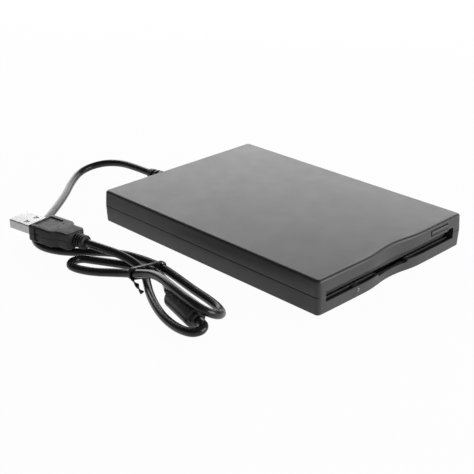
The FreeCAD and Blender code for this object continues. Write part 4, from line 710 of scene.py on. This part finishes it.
def add_plug_body():
    """Overmould: two alike halves that meet in a fine groove, and a ribbed sleeve for the cord."""
    side = [(8, 0), (8, -13.6), (7.6, -14.6), (6.6, -15.9), (5.8, -17), (5.6, -18), (5.6, -22.6), (4.4, -24)]
    bm = plate(side + [(-x, y) for x, y in reversed(side)], 0, 4)
    soften(bm, lambda edge: all(vert.co.y > -0.001 for vert in edge.verts) and abs(edge.verts[0].co.z
           - edge.verts[1].co.z) > 1, 0.7, 3)
    soften(bm, lambda edge: all(vert.co.z > 3.999 for vert in edge.verts), 0.9, 4)
    soften(bm, lambda edge: all(vert.co.z < 0.001 for vert in edge.verts), 0.14, 1)
    floor = [face for face in bm.faces if all(vert.co.z < 0.001 for vert in face.verts)]
    bmesh.ops.delete(bm, geom=floor, context="FACES_ONLY")
    bmesh.ops.mirror(bm, geom=bm.verts[:] + bm.edges[:] + bm.faces[:], matrix=Matrix.Identity(4),
                     merge_dist=0.0005, axis="Z")
    bmesh.ops.remove_doubles(bm, verts=bm.verts, dist=0.0005)
    bmesh.ops.recalc_face_normals(bm, faces=bm.faces)
    for up in (1, -1):
        def flat(face):
            return face.normal.z * up > 0.99 and abs(face.calc_center_median().z) > 3.9
        press(bm, flat, (-5.5, -10.4, None), (5.5, -1.3, None), 0.15, 0.5)
    for x, y in ((2.64, -12.9), (-1.58, -13.04)):
        press(bm, lambda face: face.normal.z > 0.99 and face.calc_center_median().z > 3.95,
              (x - 0.32, y - 0.32, None), (x + 0.32, y + 0.32, None), 0.06, 0.4)
    for hand in (1, -1):
        def wall(face):
            middle = face.calc_center_median()
            return middle.x * hand > 7.7 and abs(middle.z) < 3.1
        press(bm, wall, (None, -6.5, None), (None, -3.7, None), 0.15, 0.55)
    ribs = [(0, 0), (0, 3.2), (0.7, 3.4), (1.0, 3.35), (1.15, 3.0), (1.2, 2.6), (1.9, 2.6), (1.95, 3.0),
            (2.1, 3.35), (2.4, 3.4), (2.7, 3.35), (2.85, 3.0), (2.9, 2.6), (3.6, 2.6), (3.65, 3.0),
            (3.8, 3.35), (4.1, 3.4), (4.4, 3.35), (4.55, 3.0), (4.6, 2.6), (5.1, 2.6), (5.15, 3.0),
            (5.3, 3.3), (5.6, 3.4), (6.7, 3.4), (7.1, 3.2), (7.35, 2.8), (7.4, 2.3), (7.4, 0)]
    spun(ribs, (0, -22.6, 0), -Y, steps=40, into=bm)
    bmesh.ops.transform(bm, matrix=plug_place, verts=bm.verts)
    return piece_from(bm, "plug_body", "plug_plastic", CASING, ["plug_overmould"])


plug_body = add_plug_body()
plug_case = rounded_copy("plug_shell", "plug_case", "nickel_shell", CASING, 0.08)


# ---------------------------------------------------------------- bead and tie
def add_bead():
    """Moulding over the ferrite: a body with rounded shoulders between two stepped necks."""
    shoulder = [(1.4 - 1.4 * math.cos(math.radians(turn)), 3.4 + 1.4 * math.sin(math.radians(turn)))
                for turn in range(0, 91, 15)]
    near = [(0, 1.9), (0, 2.75), (0.12, 2.93), (0.3, 3.0), (1.85, 3.0), (2.0, 3.15)]
    near += [(2.0 + along, radius) for along, radius in shoulder]
    length = 25.2
    profile = near + [(length - along, radius) for along, radius in reversed(near)] + [(0, 1.9)]
    direction = Vector((-0.2666, -0.9638, -0.0017)).normalized()
    centre = Vector((-88.86, -30.98, 4.874))
    bm = spun(profile, centre - direction * length / 2, direction, steps=56)
    return piece_from(bm, "bead_cover", "bead_moulding", CASING, ["ferrite_moulding"])


def add_tie():
    """Wire tie: a band round the bundle, with its two ends twisted together."""
    bm = copied("cord_tie")
    bmesh.ops.bisect_plane(bm, geom=bm.verts[:] + bm.edges[:] + bm.faces[:], dist=0.0001,
                           plane_co=(0, 6.6, 0), plane_no=(0, -1, 0), clear_outer=True)
    bmesh.ops.holes_fill(bm, edges=[edge for edge in bm.edges if edge.is_boundary], sides=0)
    heading = Vector((-0.35, -1, -0.12)).normalized()
    root = Vector((-85, 7.3, 2.7)) - heading * 1.6
    for phase in (0, math.pi):
        wound(root, heading, 0.44, 1.1, 1.1, 13.2, into=bm, phase=phase, steps=36, sides=10)
    return piece_from(bm, "wire_tie", "tie_plastic", CASING, ["cord_tie"], smooth_angle=40)


bead_cover = add_bead()
wire_tie = add_tie()


# ---------------------------------------------------------------- cord
cord_radius = 1.9
arch = [
    (-6.2, 100, 9.3), (-6.2, 114, 8.4), (-11, 125, 6.6), (-22, 128.6, 4.4), (-34.3, 121.3, 2.8),
    (-46.3, 110.4, 2), (-60, 99.4, 1.95), (-74.6, 88.6, 1.95), (-88.3, 78.8, 1.95),
]
turn_under_plug = [
    (-94.2, 66, 1.95), (-89.5, 52.5, 1.95), (-79, 42.8, 1.95), (-71.2, 32.5, 1.95), (-69, 19.8, 2.5),
    (-68.7, 7.5, 3.1),
]
front_loop = [
    (-70, -5, 2.5), (-72, -17.5, 1.95), (-73.5, -29, 1.95), (-75.6, -37.6, 1.95), (-79, -43, 2.9),
    (-83.8, -46.3, 5.2), (-88.9, -47.4, 8.2),
]
over_the_bead = [
    (-92.2, -44.9, 10.6), (-92.4, -39.6, 11.7), (-91.1, -32.9, 11.7), (-89.6, -25.8, 11.7),
    (-87.9, -19.4, 11.5), (-86, -12.9, 10.9), (-84.3, -5.9, 9.5), (-83.9, 0.6, 7.4), (-84.4, 6.8, 5.3),
]
rear_loop = [
    (-86.1, 16.3, 2.9), (-93.1, 27.2, 1.95), (-96.6, 37.5, 1.95), (-93.2, 41.9, 1.95), (-87.7, 41.4, 1.95),
    (-85.2, 36.6, 1.95), (-80.7, 28, 1.95), (-76.5, 18, 2.4), (-72.8, 7.5, 3.1),
]
bead_length_of_cord = [(-76.1, -4.5, 2.4), (-80.6, -11, 3.4), (-84.8, -16.3, 4.9), (-92.6, -44.5, 4.85)]
outer_loop = [
    (-93.5, -48.2, 4.8), (-97, -49.6, 4.4), (-99.9, -46.6, 3.5), (-99.8, -38, 2.4), (-97.2, -27, 1.95),
    (-92.6, -16.2, 1.95), (-87.9, -7.6, 1.95), (-83.6, -1, 2.1), (-80.3, 4, 2.8), (-78, 9.6, 4.7),
]
rise_to_plug = [(-78.3, 16, 6.3), (-79.9, 24, 7.8), (-82.601, 32.649, 8.6), (-83.962, 41.545, 8.6)]
cord_exit = (-6.2, 88, 9.3)
cord_route = ([cord_exit] + arch + turn_under_plug + front_loop + over_the_bead + rear_loop
              + bead_length_of_cord + outer_loop + rise_to_plug)


def add_cord():
    line = bpy.data.curves.new("usb_lead", "CURVE")
    line.dimensions = "3D"
    line.bevel_depth = cord_radius * MM
    line.bevel_resolution = 6
    line.resolution_u = 10
    line.use_fill_caps = True
    spline = line.splines.new("NURBS")
    spline.points.add(len(cord_route) - 1)
    for control, place in zip(spline.points, cord_route):
        control.co = (*(value * MM for value in place), 1)
    spline.order_u = 3
    spline.use_endpoint_u = True
    line.materials.append(finishes["cord_jacket"])
    lead = bpy.data.objects.new("usb_lead", line)
    bpy.context.scene.collection.objects.link(lead)
    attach(lead, CASING)
    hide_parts("usb_cord")
    return lead


lead = add_cord()
